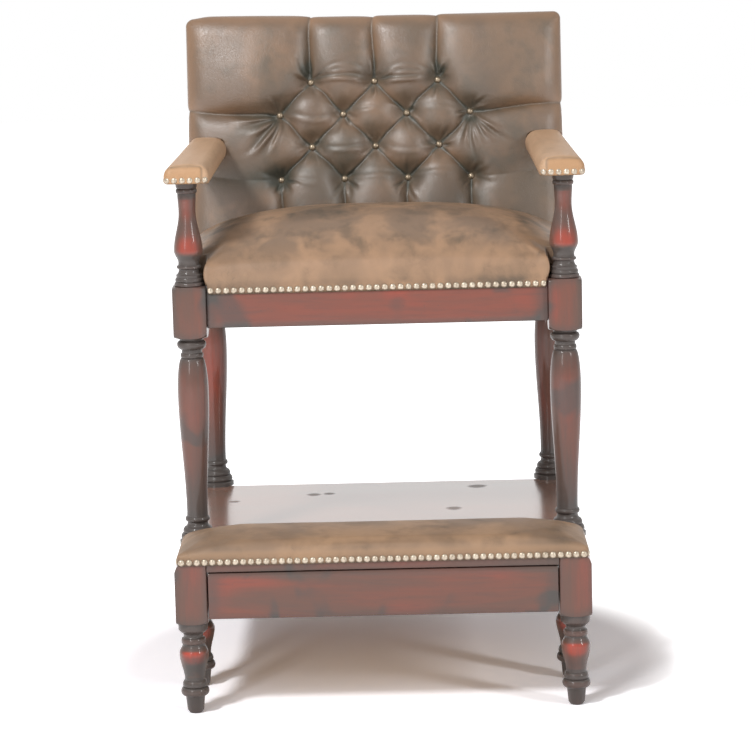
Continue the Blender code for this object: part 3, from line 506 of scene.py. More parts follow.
class Palette:
    """The chair's finishes, each built once."""

    def __init__(self) -> None:
        """Build every finish."""
        stained = StainedWood()
        poplar = BareWood("poplar", (0.560, 0.420, 0.270), (0.400, 0.270, 0.150))
        plywood = BareWood("plywood", (0.600, 0.450, 0.280), (0.430, 0.290, 0.160),
                           plies=True)
        self.stained = {grain: stained.material(grain) for grain in Grain}
        self.poplar = {grain: poplar.material(grain) for grain in Grain}
        self.plywood = plywood.material(Grain.ACROSS)
        self.board = StainedWood(
            "waxed_board", brown=(0.330, 0.190, 0.140), red=(0.380, 0.180, 0.124),
            rubbed=(0.430, 0.165, 0.105), glaze=(0.135, 0.110, 0.096), coat=1.0,
            coat_roughness=0.17, coat_ior=1.8, specular=1.0, dull=0.18, blotch=0.05,
            knots=((-0.123, 0.178, 0.017), (-0.096, 0.184, 0.013), (0.121, 0.039, 0.019),
                   (-0.261, 0.135, 0.014), (0.166, 0.221, 0.018))).material(Grain.ACROSS)
        self.brass = Brass().material()
        self.button = Brass("button_brass", bright=(0.34, 0.27, 0.19),
                            dull=(0.16, 0.12, 0.08)).material()
        self.back = Leather("back_leather", (0.232, 0.142, 0.086), (0.166, 0.107, 0.069),
                            (0.104, 0.078, 0.052), gloss=0.29, coat=0.10, pull=0.0022,
                            shine=0.70, cloud_scale=12.0, tan=(0.340, 0.180, 0.088)).material()
        self.seat = Leather("seat_leather", (0.395, 0.240, 0.144), (0.245, 0.158, 0.102),
                            (0.116, 0.082, 0.055), mottle=1.25,
                            stretch=(1.0, 0.6, 1.0)).material()
        self.arm = Leather("arm_leather", (0.700, 0.465, 0.300), (0.580, 0.360, 0.215),
                           (0.430, 0.265, 0.150), gloss=0.46, mottle=0.55, pull=0.0002,
                           cloud_scale=22.0, stretch=(1.0, 0.22, 1.0),
                           tan=(0.500, 0.285, 0.145)).material()
        self.footrest = Leather("footrest_leather", (0.400, 0.250, 0.150),
                                (0.275, 0.178, 0.114), (0.172, 0.114, 0.073),
                                cloud_scale=12.0, gloss=0.50).material()


class Shell:
    """Collects points, faces and the values of wear and painted shade, and makes one mesh of
    them.
    """

    def __init__(self) -> None:
        """Start empty."""
        self.points: list[Array] = []
        self.faces: list[tuple[int, ...]] = []
        self.values: dict[str, list[Array]] = {"glaze": [], "rub": [], "fold": []}
        self.count = 0

    def add(self, points: Array, **values: Array | float) -> Array:
        """Add points.

        Args:
            points: Array whose last axis is x, y, z.
            values: Wear and painted shade values at the points.

        Returns:
            The points' numbers, in the shape of the array.
        """
        flat = np.asarray(points, float).reshape(-1, 3)
        numbers = np.arange(self.count, self.count + len(flat))
        self.points.append(flat)
        for name, parts in self.values.items():
            value = np.asarray(values.get(name, 0.0), float)
            parts.append(np.broadcast_to(value, points.shape[:-1]).reshape(-1))
        self.count += len(flat)
        return numbers.reshape(points.shape[:-1])

    def quads(self, numbers: Array, round_rows: bool = False) -> None:
        """Join a grid of point numbers with faces.

        Args:
            numbers: Point numbers by row and column.
            round_rows: Whether each row's end joins its start.
        """
        if round_rows:
            numbers = np.concatenate([numbers, numbers[:, :1]], axis=1)
        low, high = numbers[:-1], numbers[1:]
        faces = np.stack([low[:, :-1], low[:, 1:], high[:, 1:], high[:, :-1]], axis=-1)
        self.faces.extend(map(tuple, faces.reshape(-1, 4).tolist()))

    def cap(self, loop: Array, centre: Sequence[float], flip: bool = False,
            **values: float) -> None:
        """Close a loop with a fan of faces."""
        middle = int(self.add(np.array([centre], float), **values)[0])
        for first, second in zip(loop, np.roll(loop, -1)):
            self.faces.append((second, first, middle) if flip else (first, second, middle))

    def rings(self, centre: Pair, radii: Array, angles: Array, heights: Array,
              **values: Array) -> None:
        """Add rings about an upright axis, with both ends closed.

        Args:
            centre: The axis.
            radii: Radius by ring and angle.
            angles: Angles of a ring's points.
            heights: The rings' heights.
            values: Wear and painted shade values at the points.
        """
        points = np.empty((*radii.shape, 3))
        points[..., 0] = centre[0] + radii * np.cos(angles)
        points[..., 1] = centre[1] + radii * np.sin(angles)
        points[..., 2] = heights[:, None]
        numbers = self.add(points, **values)
        self.quads(numbers, round_rows=True)
        self.cap(numbers[0], (*centre, heights[0]), flip=True, glaze=1.0)
        self.cap(numbers[-1], (*centre, heights[-1]), glaze=1.0)

    def mesh(self, name: str, merge: float = 1e-5) -> Mesh:
        """Make the mesh, with doubles merged and faces pointing out.

        Args:
            name: The mesh's name.
            merge: Distance within which points become one.

        Returns:
            The smooth-shaded mesh.
        """
        mesh = bpy.data.meshes.new(name)
        mesh.from_pydata(np.concatenate(self.points).tolist(), [], self.faces)
        for key, parts in self.values.items():
            layer = mesh.attributes.new(key, "FLOAT", "POINT")
            layer.data.foreach_set("value", np.concatenate(parts).astype(np.float32))
        bm = bmesh.new()
        bm.from_mesh(mesh)
        bmesh.ops.remove_doubles(bm, verts=bm.verts, dist=merge)
        bmesh.ops.dissolve_degenerate(bm, edges=bm.edges, dist=merge / 10)
        bmesh.ops.recalc_face_normals(bm, faces=bm.faces[:])
        bm.to_mesh(mesh)
        bm.free()
        mesh.shade_smooth()
        return mesh


class Workshop:
    """Turns meshes into pieces that ride on the frame."""

    def __init__(self, palette: Palette) -> None:
        """Keep the finishes and start the count of pieces."""
        self.palette = palette
        self.made = 0

    def piece(self, mesh: Mesh, material: Material, slot: str,
              nodes: Iterable[str] = (), body: str = "chair",
              sharp: float | None = None) -> Object:
        """Make a piece and tie it to the frame.

        Args:
            mesh: Its mesh, already in place.
            material: Its finish.
            slot: The record's material slot, not used here.
            nodes: Nodes that it stands for.
            body: Body that carries it.
            sharp: Angle in degrees past which an edge stays sharp.

        Returns:
            The object.
        """
        mesh.materials.clear()
        mesh.materials.append(material)
        if sharp is not None:
            mesh.set_sharp_from_angle(angle=math.radians(sharp))
        made = linked(mesh.name, mesh)
        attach(made, body)
        names = tuple(nodes)
        if names:
            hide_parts(*names)
        self.made += 1
        log.info("%s: %d points, stands for %s", made.name, len(mesh.vertices),
                 ", ".join(names) or "itself")
        return made

    def keep(self, names: Iterable[str], material: Material) -> None:
        """Give nodes that stay as they are a finer finish.

        Args:
            names: The nodes.
            material: Their finish.
        """
        for name in names:
            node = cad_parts[name]
            node.data.materials.clear()
            node.data.materials.append(material)


def rounded_board(name: str, low: Sequence[float], high: Sequence[float], radius: float,
                  rub: float = 0.26) -> Mesh:
    """A board with softened edges and glaze gathered along them.

    Args:
        name: The mesh's name.
        low: Lowest corner.
        high: Highest corner.
        radius: Radius of the edges.
        rub: How far the flats are rubbed.

    Returns:
        The mesh.
    """
    edge_wear, end_wear = 0.009, 0.030  # how far the dark edges and ends reach
    cell = 0.010  # facets on the flats
    low, high = np.array(low, float), np.array(high, float)
    lines = []
    for start, end in zip(low, high):
        flats = max(1, round((end - start - 2 * radius) / cell))
        edge = radius * (1 - np.cos(np.linspace(0, math.pi / 2, 4)))
        inner = np.linspace(start + radius, end - radius, flats + 1)[1:-1]
        lines.append(np.concatenate([start + edge, inner, end - edge[::-1]]))
    shell = Shell()
    for axis in range(3):
        across, along = [index for index in range(3) if index != axis]
        grid_a, grid_b = np.meshgrid(lines[across], lines[along], indexing="ij")
        for level in (low[axis], high[axis]):
            points = np.empty((*grid_a.shape, 3))
            points[..., axis] = level
            points[..., across] = grid_a
            points[..., along] = grid_b
            core = np.clip(points, low + radius, high - radius)
            out = points - core
            length = np.maximum(np.linalg.norm(out, axis=-1, keepdims=True), 1e-9)
            placed = core + out / length * radius
            depth = np.minimum(placed - low, high - placed)
            second = np.sort(depth, axis=-1)[..., 1]
            end = depth[..., int(np.argmax(high - low))]
            dark = np.maximum(0.5 * (1 - ease(0.0, edge_wear, second)),
                              0.6 * (1 - ease(0.004, end_wear, end)))
            shell.quads(shell.add(placed, glaze=dark, rub=np.full(dark.shape, rub)))
    return shell.mesh(name)


class Turning:
    """A turned outline, as rings from the bottom up."""

    steps = 9  # rings on a bead
    sides = 56
    shaded_side_rub = 0.22  # share of the rub kept on the sides: painted shade, the sides drawn darker than the front and back as where the light falls off
    window = 0.009

    def __init__(self, outline: Table, radius: float, length: float, base: float,
                 glaze: Sequence[Pair], rub: float = 1.0) -> None:
        """Work out the outline's rings and the glaze at each.

        Args:
            outline: Stretches: kind, radius share, height share and a bead's crest share.
            radius: Largest radius.
            length: Length.
            base: Height of the lower end.
            glaze: Glaze along the turning, by height share.
            rub: How far its swells are rubbed.
        """
        points: list[Pair] = []
        for kind, radius_share, height_share, *crest in outline:
            end = (radius * radius_share, length * height_share)
            points += self._stretch(kind, points[-1] if points else end, end,
                                    radius * crest[0] if crest else 0.0)
        rings = np.array(points)
        self.radii, self.heights = rings[:, 0], rings[:, 1] + base
        near = np.abs(self.heights[:, None] - self.heights[None, :]) < self.window
        crest = np.where(near, self.radii[None, :], 0).max(axis=1)
        recess = ease(0.0004, 0.0034, crest - self.radii)
        spread = np.interp(rings[:, 1] / length, *zip(*glaze))
        self.glaze = np.clip(spread + 0.65 * recess, 0, 1)
        self.rub = rub * np.clip(1.0 - spread * 1.6, 0, 1) * (1 - recess)

    def _stretch(self, kind: str, start: Pair, end: Pair, crest: float) -> list[Pair]:
        """Points of one stretch, after its start."""
        if kind == "line":
            return [start, end] if start != end else [end]
        count = self.steps * (3 if kind == "rise" and end[1] - start[1] > 0.04 else 1)
        points = []
        for step in range(1, count + 1):
            angle = math.pi * step / count
            swing = (1 - math.cos(angle)) / 2
            if kind in ("bead", "cove"):
                root = start[0] + (end[0] - start[0]) * swing
                bulge = (crest - (start[0] + end[0]) / 2) * math.sin(angle)
                points.append((root + bulge, start[1] + (end[1] - start[1]) * swing))
            elif kind == "rise":
                points.append((start[0] + (end[0] - start[0]) * swing,
                               start[1] + (end[1] - start[1]) * step / count))
            else:
                points.append((end[0] + (start[0] - end[0]) * math.cos(angle / 2),
                               start[1] + (end[1] - start[1]) * math.sin(angle / 2)))
        return points

    def spin(self, shell: Shell, centre: Pair) -> None:
        """Add the turning to a shell, about a centre."""
        angles = np.linspace(0, 2 * math.pi, self.sides, endpoint=False)
        # painted shade: the rub fades towards the sides, so the sides of a turning look darker
        # than its front and back
        facing = self.shaded_side_rub + (1 - self.shaded_side_rub) * np.abs(np.sin(angles)) ** 2
        radii, glaze = (np.repeat(column[:, None], self.sides, 1)
                        for column in (self.radii, self.glaze))
        shell.rings(centre, radii, angles, self.heights, glaze=glaze,
                    rub=self.rub[:, None] * facing)


def square_block(shell: Shell, centre: Pair, width: float, bottom: float,
                 top: float, cuts: Pair) -> None:
    """Add a square block whose corners are turned off where a turning meets it.

    Args:
        shell: Where the faces go.
        centre: The block's axis.
        width: Its width.
        bottom: Its lower end.
        top: Its upper end.
        cuts: Height of the turned corners at the lower and the upper end, 0 for none.
    """
    half, edge, neck = width / 2, 0.0014, 0.97
    quarter = np.concatenate([np.linspace(0, math.pi / 4 - 0.09, 9),
                              np.linspace(math.pi / 4 - 0.06, math.pi / 4 + 0.06, 5),
                              np.linspace(math.pi / 4 + 0.09, math.pi / 2, 9)[:-1]])
    angles = np.concatenate([quarter + math.pi / 2 * turn for turn in range(4)])
    diagonal = half * math.sqrt(2) - edge * (math.sqrt(2) - 1) * 2
    square = half / np.maximum(np.abs(np.cos(angles)), np.abs(np.sin(angles)))
    square = np.minimum(square, diagonal)
    low_cut, high_cut = (cut or edge for cut in cuts)
    rise = 1 - np.cos(np.linspace(0, math.pi / 2, 9))
    heights = np.concatenate([bottom + low_cut * rise,
                              np.linspace(bottom + low_cut * 1.3, top - high_cut * 1.3, 14),
                              top - high_cut * rise[::-1]])
    limit = np.full(len(heights), diagonal)
    for cut, distance in ((cuts[0], heights - bottom), (cuts[1], top - heights)):
        if cut:
            rounding = quarter_round(distance, cut)
            limit = np.minimum(limit, half * neck + (diagonal - half * neck) * rounding)
        else:
            limit = np.minimum(limit, diagonal - edge * (1 - quarter_round(distance, edge)))
    radii = np.minimum(square[None, :], limit[:, None])
    end_distance = np.minimum(heights - bottom, top - heights)[:, None]
    corner = ease(half * 1.15, diagonal, radii)
    glaze = 0.45 * (1 - ease(0.0, 0.014, end_distance)) + 0.40 * corner
    shell.rings(centre, radii, angles, heights, glaze=np.clip(glaze, 0, 1),
                rub=0.25 * ease(0.0, 0.03, end_distance))


@dataclass
class Legs:
    """Four turned legs on the platform, the front pair going on as arm supports."""

    front_x: float = 0.303
    rear_x: float = 0.300
    leg_radius: float = 0.030
    leg_length: float = 0.342
    support_radius: float = 0.0245
    stile_width: float = 0.038
    stile_depth: float = 0.030
    stile_foot: float = -0.02
    stile_drop: float = 0.014
    block_cuts: Pair = (0.0085, 0.0040)
    front_wear: float = 0.54
    rear_wear: float = 0.40
    leg_outline: Table = (
        ("line", 1.00, 0.000), ("line", 1.00, 0.018), ("line", 0.86, 0.026),
        ("bead", 0.76, 0.056, 0.92), ("bead", 0.66, 0.085, 0.80),
        ("cove", 0.60, 0.111, 0.57), ("bead", 0.58, 0.134, 0.67), ("line", 0.57, 0.152),
        ("rise", 0.84, 0.730), ("shoulder", 0.56, 0.902), ("bead", 0.55, 0.926, 0.62),
        ("line", 0.55, 0.942), ("bead", 0.62, 0.984, 0.79), ("line", 0.70, 1.000))
    support_outline: Table = (
        ("line", 0.95, 0.000), ("bead", 0.88, 0.042, 1.00), ("bead", 0.84, 0.082, 0.93),
        ("line", 0.87, 0.108), ("cove", 0.74, 0.168, 0.70), ("bead", 0.70, 0.200, 0.81),
        ("line", 0.69, 0.224), ("rise", 0.95, 0.335), ("rise", 0.56, 0.710),
        ("rise", 0.61, 0.885), ("bead", 0.62, 0.930, 0.70), ("line", 0.69, 0.945),
        ("line", 0.73, 1.000))
    leg_glaze: Table = ((0.0, 1.0), (0.15, 0.95), (0.26, 0.62), (0.40, 0.22), (0.62, 0.02),
                        (0.78, 0.15), (0.88, 0.50), (0.92, 0.95), (1.0, 1.0))
    support_glaze: Table = ((0.0, 0.85), (0.22, 0.90), (0.29, 0.40), (0.34, 0.0),
                            (0.46, 0.0), (0.60, 0.22), (0.84, 0.22), (0.90, 0.75),
                            (1.0, 1.0))

    def build(self, shop: Workshop) -> None:
        """Make the four legs.

        Args:
            shop: Makes the pieces.
        """
        wood = shop.palette.stained[Grain.UPRIGHT]
        for side_name, side in SIDES:
            for place, leg_x, leg_y, wear in (
                    ("front", self.front_x, FRONT_LEG_Y, self.front_wear),
                    ("rear", self.rear_x, REAR_LEG_Y, self.rear_wear)):
                shell = Shell()
                centre = (side * leg_x, leg_y)
                Turning(self.leg_outline, self.leg_radius, self.leg_length, BOARD_TOP,
                        self.leg_glaze, wear).spin(shell, centre)
                square_block(shell, centre, POST_WIDTH, POST_BOTTOM, POST_TOP,
                             self.block_cuts)
                if place == "front":
                    Turning(self.support_outline, self.support_radius, SUPPORT_LENGTH,
                            POST_TOP, self.support_glaze).spin(shell, centre)
                mesh = shell.mesh(f"turned_{place}_leg_{side_name}")
                if place == "rear":
                    self._add_stile(mesh, side)
                shop.piece(mesh, wood, "cherry_wood", [f"{place}_leg_{side_name}"],
                           sharp=SHARP_ANGLE)

    def _add_stile(self, mesh: Mesh, side: int) -> None:
        """Add the raked stile above a rear leg's block."""
        half = self.stile_width / 2
        bm = bmesh.new()
        bm.from_mesh(mesh)
        found = bmesh.ops.create_cube(bm, size=1)["verts"]
        low_w, high_w = self.stile_foot, BACK_HEIGHT - self.stile_drop
        for vert in found:
            x = side * self.rear_x + vert.co.x * 2 * half
            depth = (vert.co.y + 0.5) * self.stile_depth
            vert.co = raked(x, -depth, low_w + (vert.co.z + 0.5) * (high_w - low_w))
        bm.to_mesh(mesh)
        bm.free()


def raked(x: float, depth: float, rise: float) -> Vector:
    """A place on the raked back, in the row frame.

    Args:
        x: Place across.
        depth: Distance in front of the back's frame.
        rise: Height along the rake, from the seat rails' top.

    Returns:
        The point.
    """
    return Vector(raked_points(np.array([x, depth, rise], float)))


def raked_points(points: Array) -> Array:
    """Places on the raked back, for an array whose last axis is x, depth and rise."""
    cos, sin = math.cos(BACK_RAKE), math.sin(BACK_RAKE)
    placed = np.empty_like(points)
    placed[..., 0] = points[..., 0]
    placed[..., 1] = STILE_FRONT_Y - points[..., 1] * cos + points[..., 2] * sin
    placed[..., 2] = RAIL_TOP + points[..., 1] * sin + points[..., 2] * cos
    return placed


@dataclass
class Platform:
    """Six turned feet, the board that the legs stand on, its rails and the drawer."""

    width: float = 0.660
    foot_x: float = 0.3045
    front_y: float = -0.37331
    bevel_height: float = 0.2365
    bevel_depth: float = 0.0085
    bevel_slope: float = 0.75
    block_cuts: Pair = (0.0070, 0.0)
    rail_edge: float = 0.0016
    drawer_edge: float = 0.0018
    foot_height: float = 0.148
    foot_radius: float = 0.024
    foot_outline: Table = (
        ("line", 0.42, 0.000), ("line", 0.55, 0.030), ("line", 0.64, 0.176),
        ("line", 0.74, 0.192), ("bead", 0.74, 0.285, 0.94), ("bead", 0.66, 0.362, 0.81),
        ("rise", 0.97, 0.660), ("rise", 0.74, 0.765), ("bead", 0.72, 0.830, 0.81),
        ("cove", 0.76, 0.885, 0.64), ("line", 0.98, 0.922), ("line", 1.00, 1.000))
    foot_glaze: Table = ((0.0, 0.95), (0.18, 0.70), (0.37, 0.80), (0.42, 0.40),
                         (0.50, 0.16), (0.57, 0.0), (0.725, 0.0), (0.765, 0.55),
                         (1.0, 1.0))

    def build(self, shop: Workshop) -> None:
        """Make the feet, board, rails and drawer.

        Args:
            shop: Makes the pieces.
        """
        stained = shop.palette.stained
        rows = (("front", self.front_y + BLOCK_WIDTH / 2, BASE_TOP),
                ("middle", FRONT_LEG_Y, BOARD_TOP), ("rear", REAR_LEG_Y, BOARD_TOP))
        for place, y, top in rows:
            for side_name, side in SIDES:
                shell = Shell()
                centre = (side * self.foot_x, y)
                Turning(self.foot_outline, self.foot_radius, self.foot_height, 0.0,
                        self.foot_glaze).spin(shell, centre)
                square_block(shell, centre, BLOCK_WIDTH, self.foot_height, top - GAP,
                             self.block_cuts)
                mesh = shell.mesh(f"turned_{place}_foot_{side_name}")
                if place == "front":
                    self._bevel(mesh, side)
                shop.piece(mesh, stained[Grain.UPRIGHT], "cherry_wood",
                           [f"{place}_foot_{side_name}"], sharp=SHARP_ANGLE)
        boards = [("front_top_rail", Grain.ACROSS, "chair", self.rail_edge),
                  ("platform_rear_rail", Grain.ACROSS, "chair", self.rail_edge),
                  ("drawer_front", Grain.ACROSS, "drawer", self.drawer_edge)]
        boards += [(f"platform_{place}_side_rail_{side}", Grain.DEPTH, "chair", self.rail_edge)
                   for place in ("front", "rear") for side, _ in SIDES]
        for node, grain, body, radius in boards:
            low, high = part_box(node)
            shop.piece(rounded_board(f"stained_{node}", low, high, radius), stained[grain],
                       "cherry_wood", [node], body)
        shop.keep(["platform_board"], shop.palette.board)
        self._dress_inside(shop)

    def _bevel(self, mesh: Mesh, side: int) -> None:
        """Slope a front block's outer side inwards under the footrest's leather."""
        for vert in mesh.vertices:
            above = max(0.0, vert.co.z - self.bevel_height)
            limit = self.width / 2 - min(above * self.bevel_slope, self.bevel_depth)
            if side * vert.co.x > limit:
                vert.co.x = side * limit

    def _dress_inside(self, shop: Workshop) -> None:
        """Give the pieces inside the platform their bare wood."""
        poplar = shop.palette.poplar
        shop.keep(["drawer_runner_left", "drawer_runner_right", "drawer_side_left",
                   "drawer_side_right"], poplar[Grain.DEPTH])
        shop.keep(["drawer_back"], poplar[Grain.ACROSS])
        shop.keep(["drawer_bottom"], shop.palette.plywood)


def rounded_loop(corners: Sequence[Triple], step: float) -> Array:
    """A closed outline with rounded corners, evenly stepped.

    Args:
        corners: Corners as x, y and radius, anticlockwise seen from above.
        step: Distance between points.

    Returns:
        Points in a row, x and y.
    """
    points: list[Array] = []
    count = len(corners)
    for index in range(count):
        here = np.array(corners[index][:2])
        before = np.array(corners[index - 1][:2]) - here
        after = np.array(corners[(index + 1) % count][:2]) - here
        before /= np.linalg.norm(before)
        after /= np.linalg.norm(after)
        half_angle = math.acos(float(np.clip(before @ after, -1, 1))) / 2
        radius = corners[index][2]
        reach = radius / math.tan(half_angle)
        bisector = (before + after) / np.linalg.norm(before + after)
        centre = here + bisector * radius / math.sin(half_angle)
        start, end = here + before * reach - centre, here + after * reach - centre
        turn = math.atan2(start[0] * end[1] - start[1] * end[0], start @ end)
        arcs = max(3, round(abs(turn) * radius / step * 1.6))
        for share in np.linspace(0, 1, arcs + 1):
            cos, sin = math.cos(turn * share), math.sin(turn * share)
            points.append(centre + [start[0] * cos - start[1] * sin,
                                    start[0] * sin + start[1] * cos])
    filled: list[Array] = []
    for first, second in zip(points, points[1:] + points[:1]):
        pieces = max(1, round(float(np.linalg.norm(second - first)) / step))
        filled += [first + (second - first) * index / pieces for index in range(pieces)]
    return np.array(filled)


def edge_distance(points: Array, loop: Array) -> Array:
    """Distance from points to an outline.

    Args:
        points: Points, x and y last.
        loop: The outline.

    Returns:
        Distances in the points' shape.
    """
    flat = points.reshape(-1, 2)
    best = np.full(len(flat), 1e9)
    for start, end in zip(loop, np.roll(loop, -1, axis=0)):
        along = end - start
        share = np.clip(((flat - start) @ along) / (along @ along), 0, 1)
        best = np.minimum(best, np.linalg.norm(flat - start - share[:, None] * along, axis=1))
    return best.reshape(points.shape[:-1])


@dataclass
class Padding:
    """Padding on a flat base, with leather turned down over the edges."""

    name: str
    loop: Array
    base: float
    spine: tuple[Pair, Pair]
    height: Callable[[Array, Array], Array]
    reach: float
    lower: Callable[[Array, Array], Array]
    dress: Callable[[Array, Array], tuple[Array, dict]]
    rings: int
    swell: float
    cap: float
    sideways: float = 0.35
    rounding: Callable[[Array, Array], Array] | None = None
    spine_cell: float = 1.7
    merge: float = 2e-4
    tacked: float = 0.002
    frames: int = 20
    smoothing: int = 10

    def mesh(self) -> Mesh:
        """Build the padding, and let it swell like a stuffed cover.

        Returns:
            The closed mesh.
        """
        first, last = np.array(self.spine[0]), np.array(self.spine[1])
        along = last - first
        share = np.clip(((self.loop - first) @ along) / (along @ along), 0, 1)
        step = np.median(np.linalg.norm(np.diff(self.loop, axis=0), axis=1))
        cells = max(1, int(np.linalg.norm(along) / (self.spine_cell * step)))
        core = first + (np.round(share * cells) / cells)[:, None] * along
        depths = self.reach * (1 - np.cos(np.linspace(0, math.pi / 2, 9)))
        inner = np.linspace(0, 1, self.rings)
        span = np.linalg.norm(self.loop - core, axis=1)
        edge_shares = np.minimum(depths[:, None] / span[None, :], 0.5)
        rest = edge_shares[-1] + (1 - edge_shares[-1]) * inner[1:, None]
        shares = np.concatenate([edge_shares, rest])
        plan = self.loop[None] * (1 - shares[..., None]) + core[None] * shares[..., None]
        distance = edge_distance(plan, self.loop)
        full = self.height(plan[..., 0], plan[..., 1])
        reach = self.rounding(plan[..., 0], plan[..., 1]) if self.rounding else self.reach
        top = self.base + full * quarter_round(distance, reach)
        skirt = self.lower(self.loop[:, 0], self.loop[:, 1])
        walls = np.linspace(0, 1, 4)[:-1]
        wall_heights = skirt[None] + (self.base - skirt[None]) * walls[:, None]
        shell = Shell()
        wall = np.concatenate([np.broadcast_to(self.loop, (len(walls), *self.loop.shape)),
                               wall_heights[..., None]], axis=-1)
        cover = np.concatenate([plan, top[..., None]], axis=-1)
        inside = np.concatenate([np.zeros(wall.shape[:-1]), distance])
        whole, carried = self.dress(np.concatenate([wall, cover]), inside)
        numbers = shell.add(whole, **carried)
        shell.quads(numbers, round_rows=True)
        inward = self.loop + (core - self.loop) * (LEATHER / span)[:, None]
        under = np.stack([np.column_stack([inward, skirt]),
                          np.column_stack([inward, np.full(len(skirt), self.base)])])
        turned = shell.add(under)
        shell.quads(np.concatenate([numbers[:1], turned]), round_rows=True)
        floor = np.column_stack([core, np.full(len(skirt), self.base)])
        shell.quads(np.stack([turned[1], shell.add(floor)]), round_rows=True)
        mesh = shell.mesh(self.name, self.merge)
        self._swell(mesh)
        return mesh

    def _swell(self, mesh: Mesh) -> None:
        """Blow the cover up as cloth, held at its base, and keep the result."""
        points = np.array([vert.co for vert in mesh.vertices])
        held = points[:, 2] < self.base + self.tacked
        stuffed = linked(self.name + "_stuffing", mesh.copy())
        group = stuffed.vertex_groups.new(name="tacked")
        group.add([int(index) for index in np.flatnonzero(held)], 1.0, "REPLACE")
        cloth = stuffed.modifiers.new("Stuffing", "CLOTH")
        cloth.settings.vertex_group_mass = "tacked"
        cloth.settings.use_pressure = True
        cloth.settings.uniform_pressure_force = self.swell
        cloth.settings.effector_weights.gravity = 0
        cloth.settings.quality = 5
        cloth.point_cache.frame_start, cloth.point_cache.frame_end = 1, self.frames
        scene = bpy.context.scene
        for number in range(1, self.frames + 1):
            scene.frame_set(number)
        graph = bpy.context.evaluated_depsgraph_get()
        swollen = np.array([vert.co for vert in stuffed.evaluated_get(graph).data.vertices])
        moved = (swollen - points) * [self.sideways, self.sideways, 1.0]
        moved[~np.isfinite(moved)] = 0
        ends = np.array([edge.vertices[:] for edge in mesh.edges]).T
        for _ in range(self.smoothing):
            spread, shares = moved.copy(), np.ones(len(moved))
            for here, there in (ends, ends[::-1]):
                np.add.at(spread, here, moved[there])
                np.add.at(shares, here, 1)
            moved = np.where(held[:, None], moved, spread / shares[:, None])
        length = np.maximum(np.linalg.norm(moved, axis=1, keepdims=True), 1e-9)
        moved *= np.minimum(1, self.cap / length)
        mesh.vertices.foreach_set("co", (points + moved).astype(np.float32).ravel())
        mesh.update()
        log.info("%s swelled by up to %.1f mm", self.name, 1000 * np.abs(moved).max())
        bpy.data.objects.remove(stuffed, do_unlink=True)
        scene.frame_set(1)


@dataclass
class Footrest:
    """The padded footrest at the platform's front."""

    half_width: float = 0.3247
    front: float = -0.37561
    rear: float = -0.21741
    crown: float = 0.0250
    low_end: float = 0.0070
    end_fall: float = 0.080
    end_power: float = 2.2
    front_share: float = 0.66
    rear_share: float = 0.72
    skirt: float = 0.0135
    front_corner: float = 0.006
    rear_corner: float = 0.012
    edge_round: float = 0.012
    spine_x: float = 0.25
    step: float = 0.0045

    def height(self, x: Array, y: Array) -> Array:
        """Swell of the pad over its base."""
        v = (y - self.front) / (self.rear - self.front) * 2 - 1
        share = np.where(v < 0, self.front_share, self.rear_share)
        across = share + (1 - share) * (1 - v * v)
        fall = np.clip(1 - (self.half_width - np.abs(x)) / self.end_fall, 0, 1)
        full = self.crown * across - self.low_end
        return self.low_end + full * (1 - fall ** self.end_power)

    def dress(self, points: Array, inside: Array) -> tuple[Array, dict]:
        """Painted shade in a dark line below the nails, and a rubbed front."""
        z = points[..., 2]
        # painted shade along the leather's lower edge, below the nails
        fold = 0.55 * (1 - ease(BASE_TOP - self.skirt, BASE_TOP - 0.009, z))
        front = points[..., 1] < self.front + 0.02
        rub = 0.8 * front * ease(BASE_TOP - 0.006, BASE_TOP + 0.002, z)
        rub = rub * (1 - ease(BASE_TOP + 0.006, BASE_TOP + 0.014, z))
        return points, {"fold": fold, "rub": rub}

    def build(self, shop: Workshop) -> None:
        """Make the pad and the board under it.

        Args:
            shop: Makes the pieces.
        """
        corners = mirrored([(self.half_width, self.front, self.front_corner),
                            (self.half_width, self.rear, self.rear_corner)])
        middle = (self.front + self.rear) / 2
        pad = Padding("footrest_leather_pad", rounded_loop(corners, self.step),
                      BASE_TOP + GAP, ((-self.spine_x, middle), (self.spine_x, middle)),
                      self.height, self.edge_round,
                      lambda x, y: np.full(len(x), BASE_TOP - self.skirt), rings=18,
                      swell=3.0, cap=0.002, sideways=0.1, dress=self.dress)
        piece = shop.piece(pad.mesh(), shop.palette.footrest, "footrest_leather",
                           ["footrest_pad"])
        low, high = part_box("footrest_base")
        inset = self.half_width - LEATHER - GAP
        board = rounded_board("footrest_board", (-inset, *low[1:]), (inset, *high[1:]), 0.001)
        shop.piece(board, shop.palette.poplar[Grain.ACROSS], "frame_wood", ["footrest_base"])


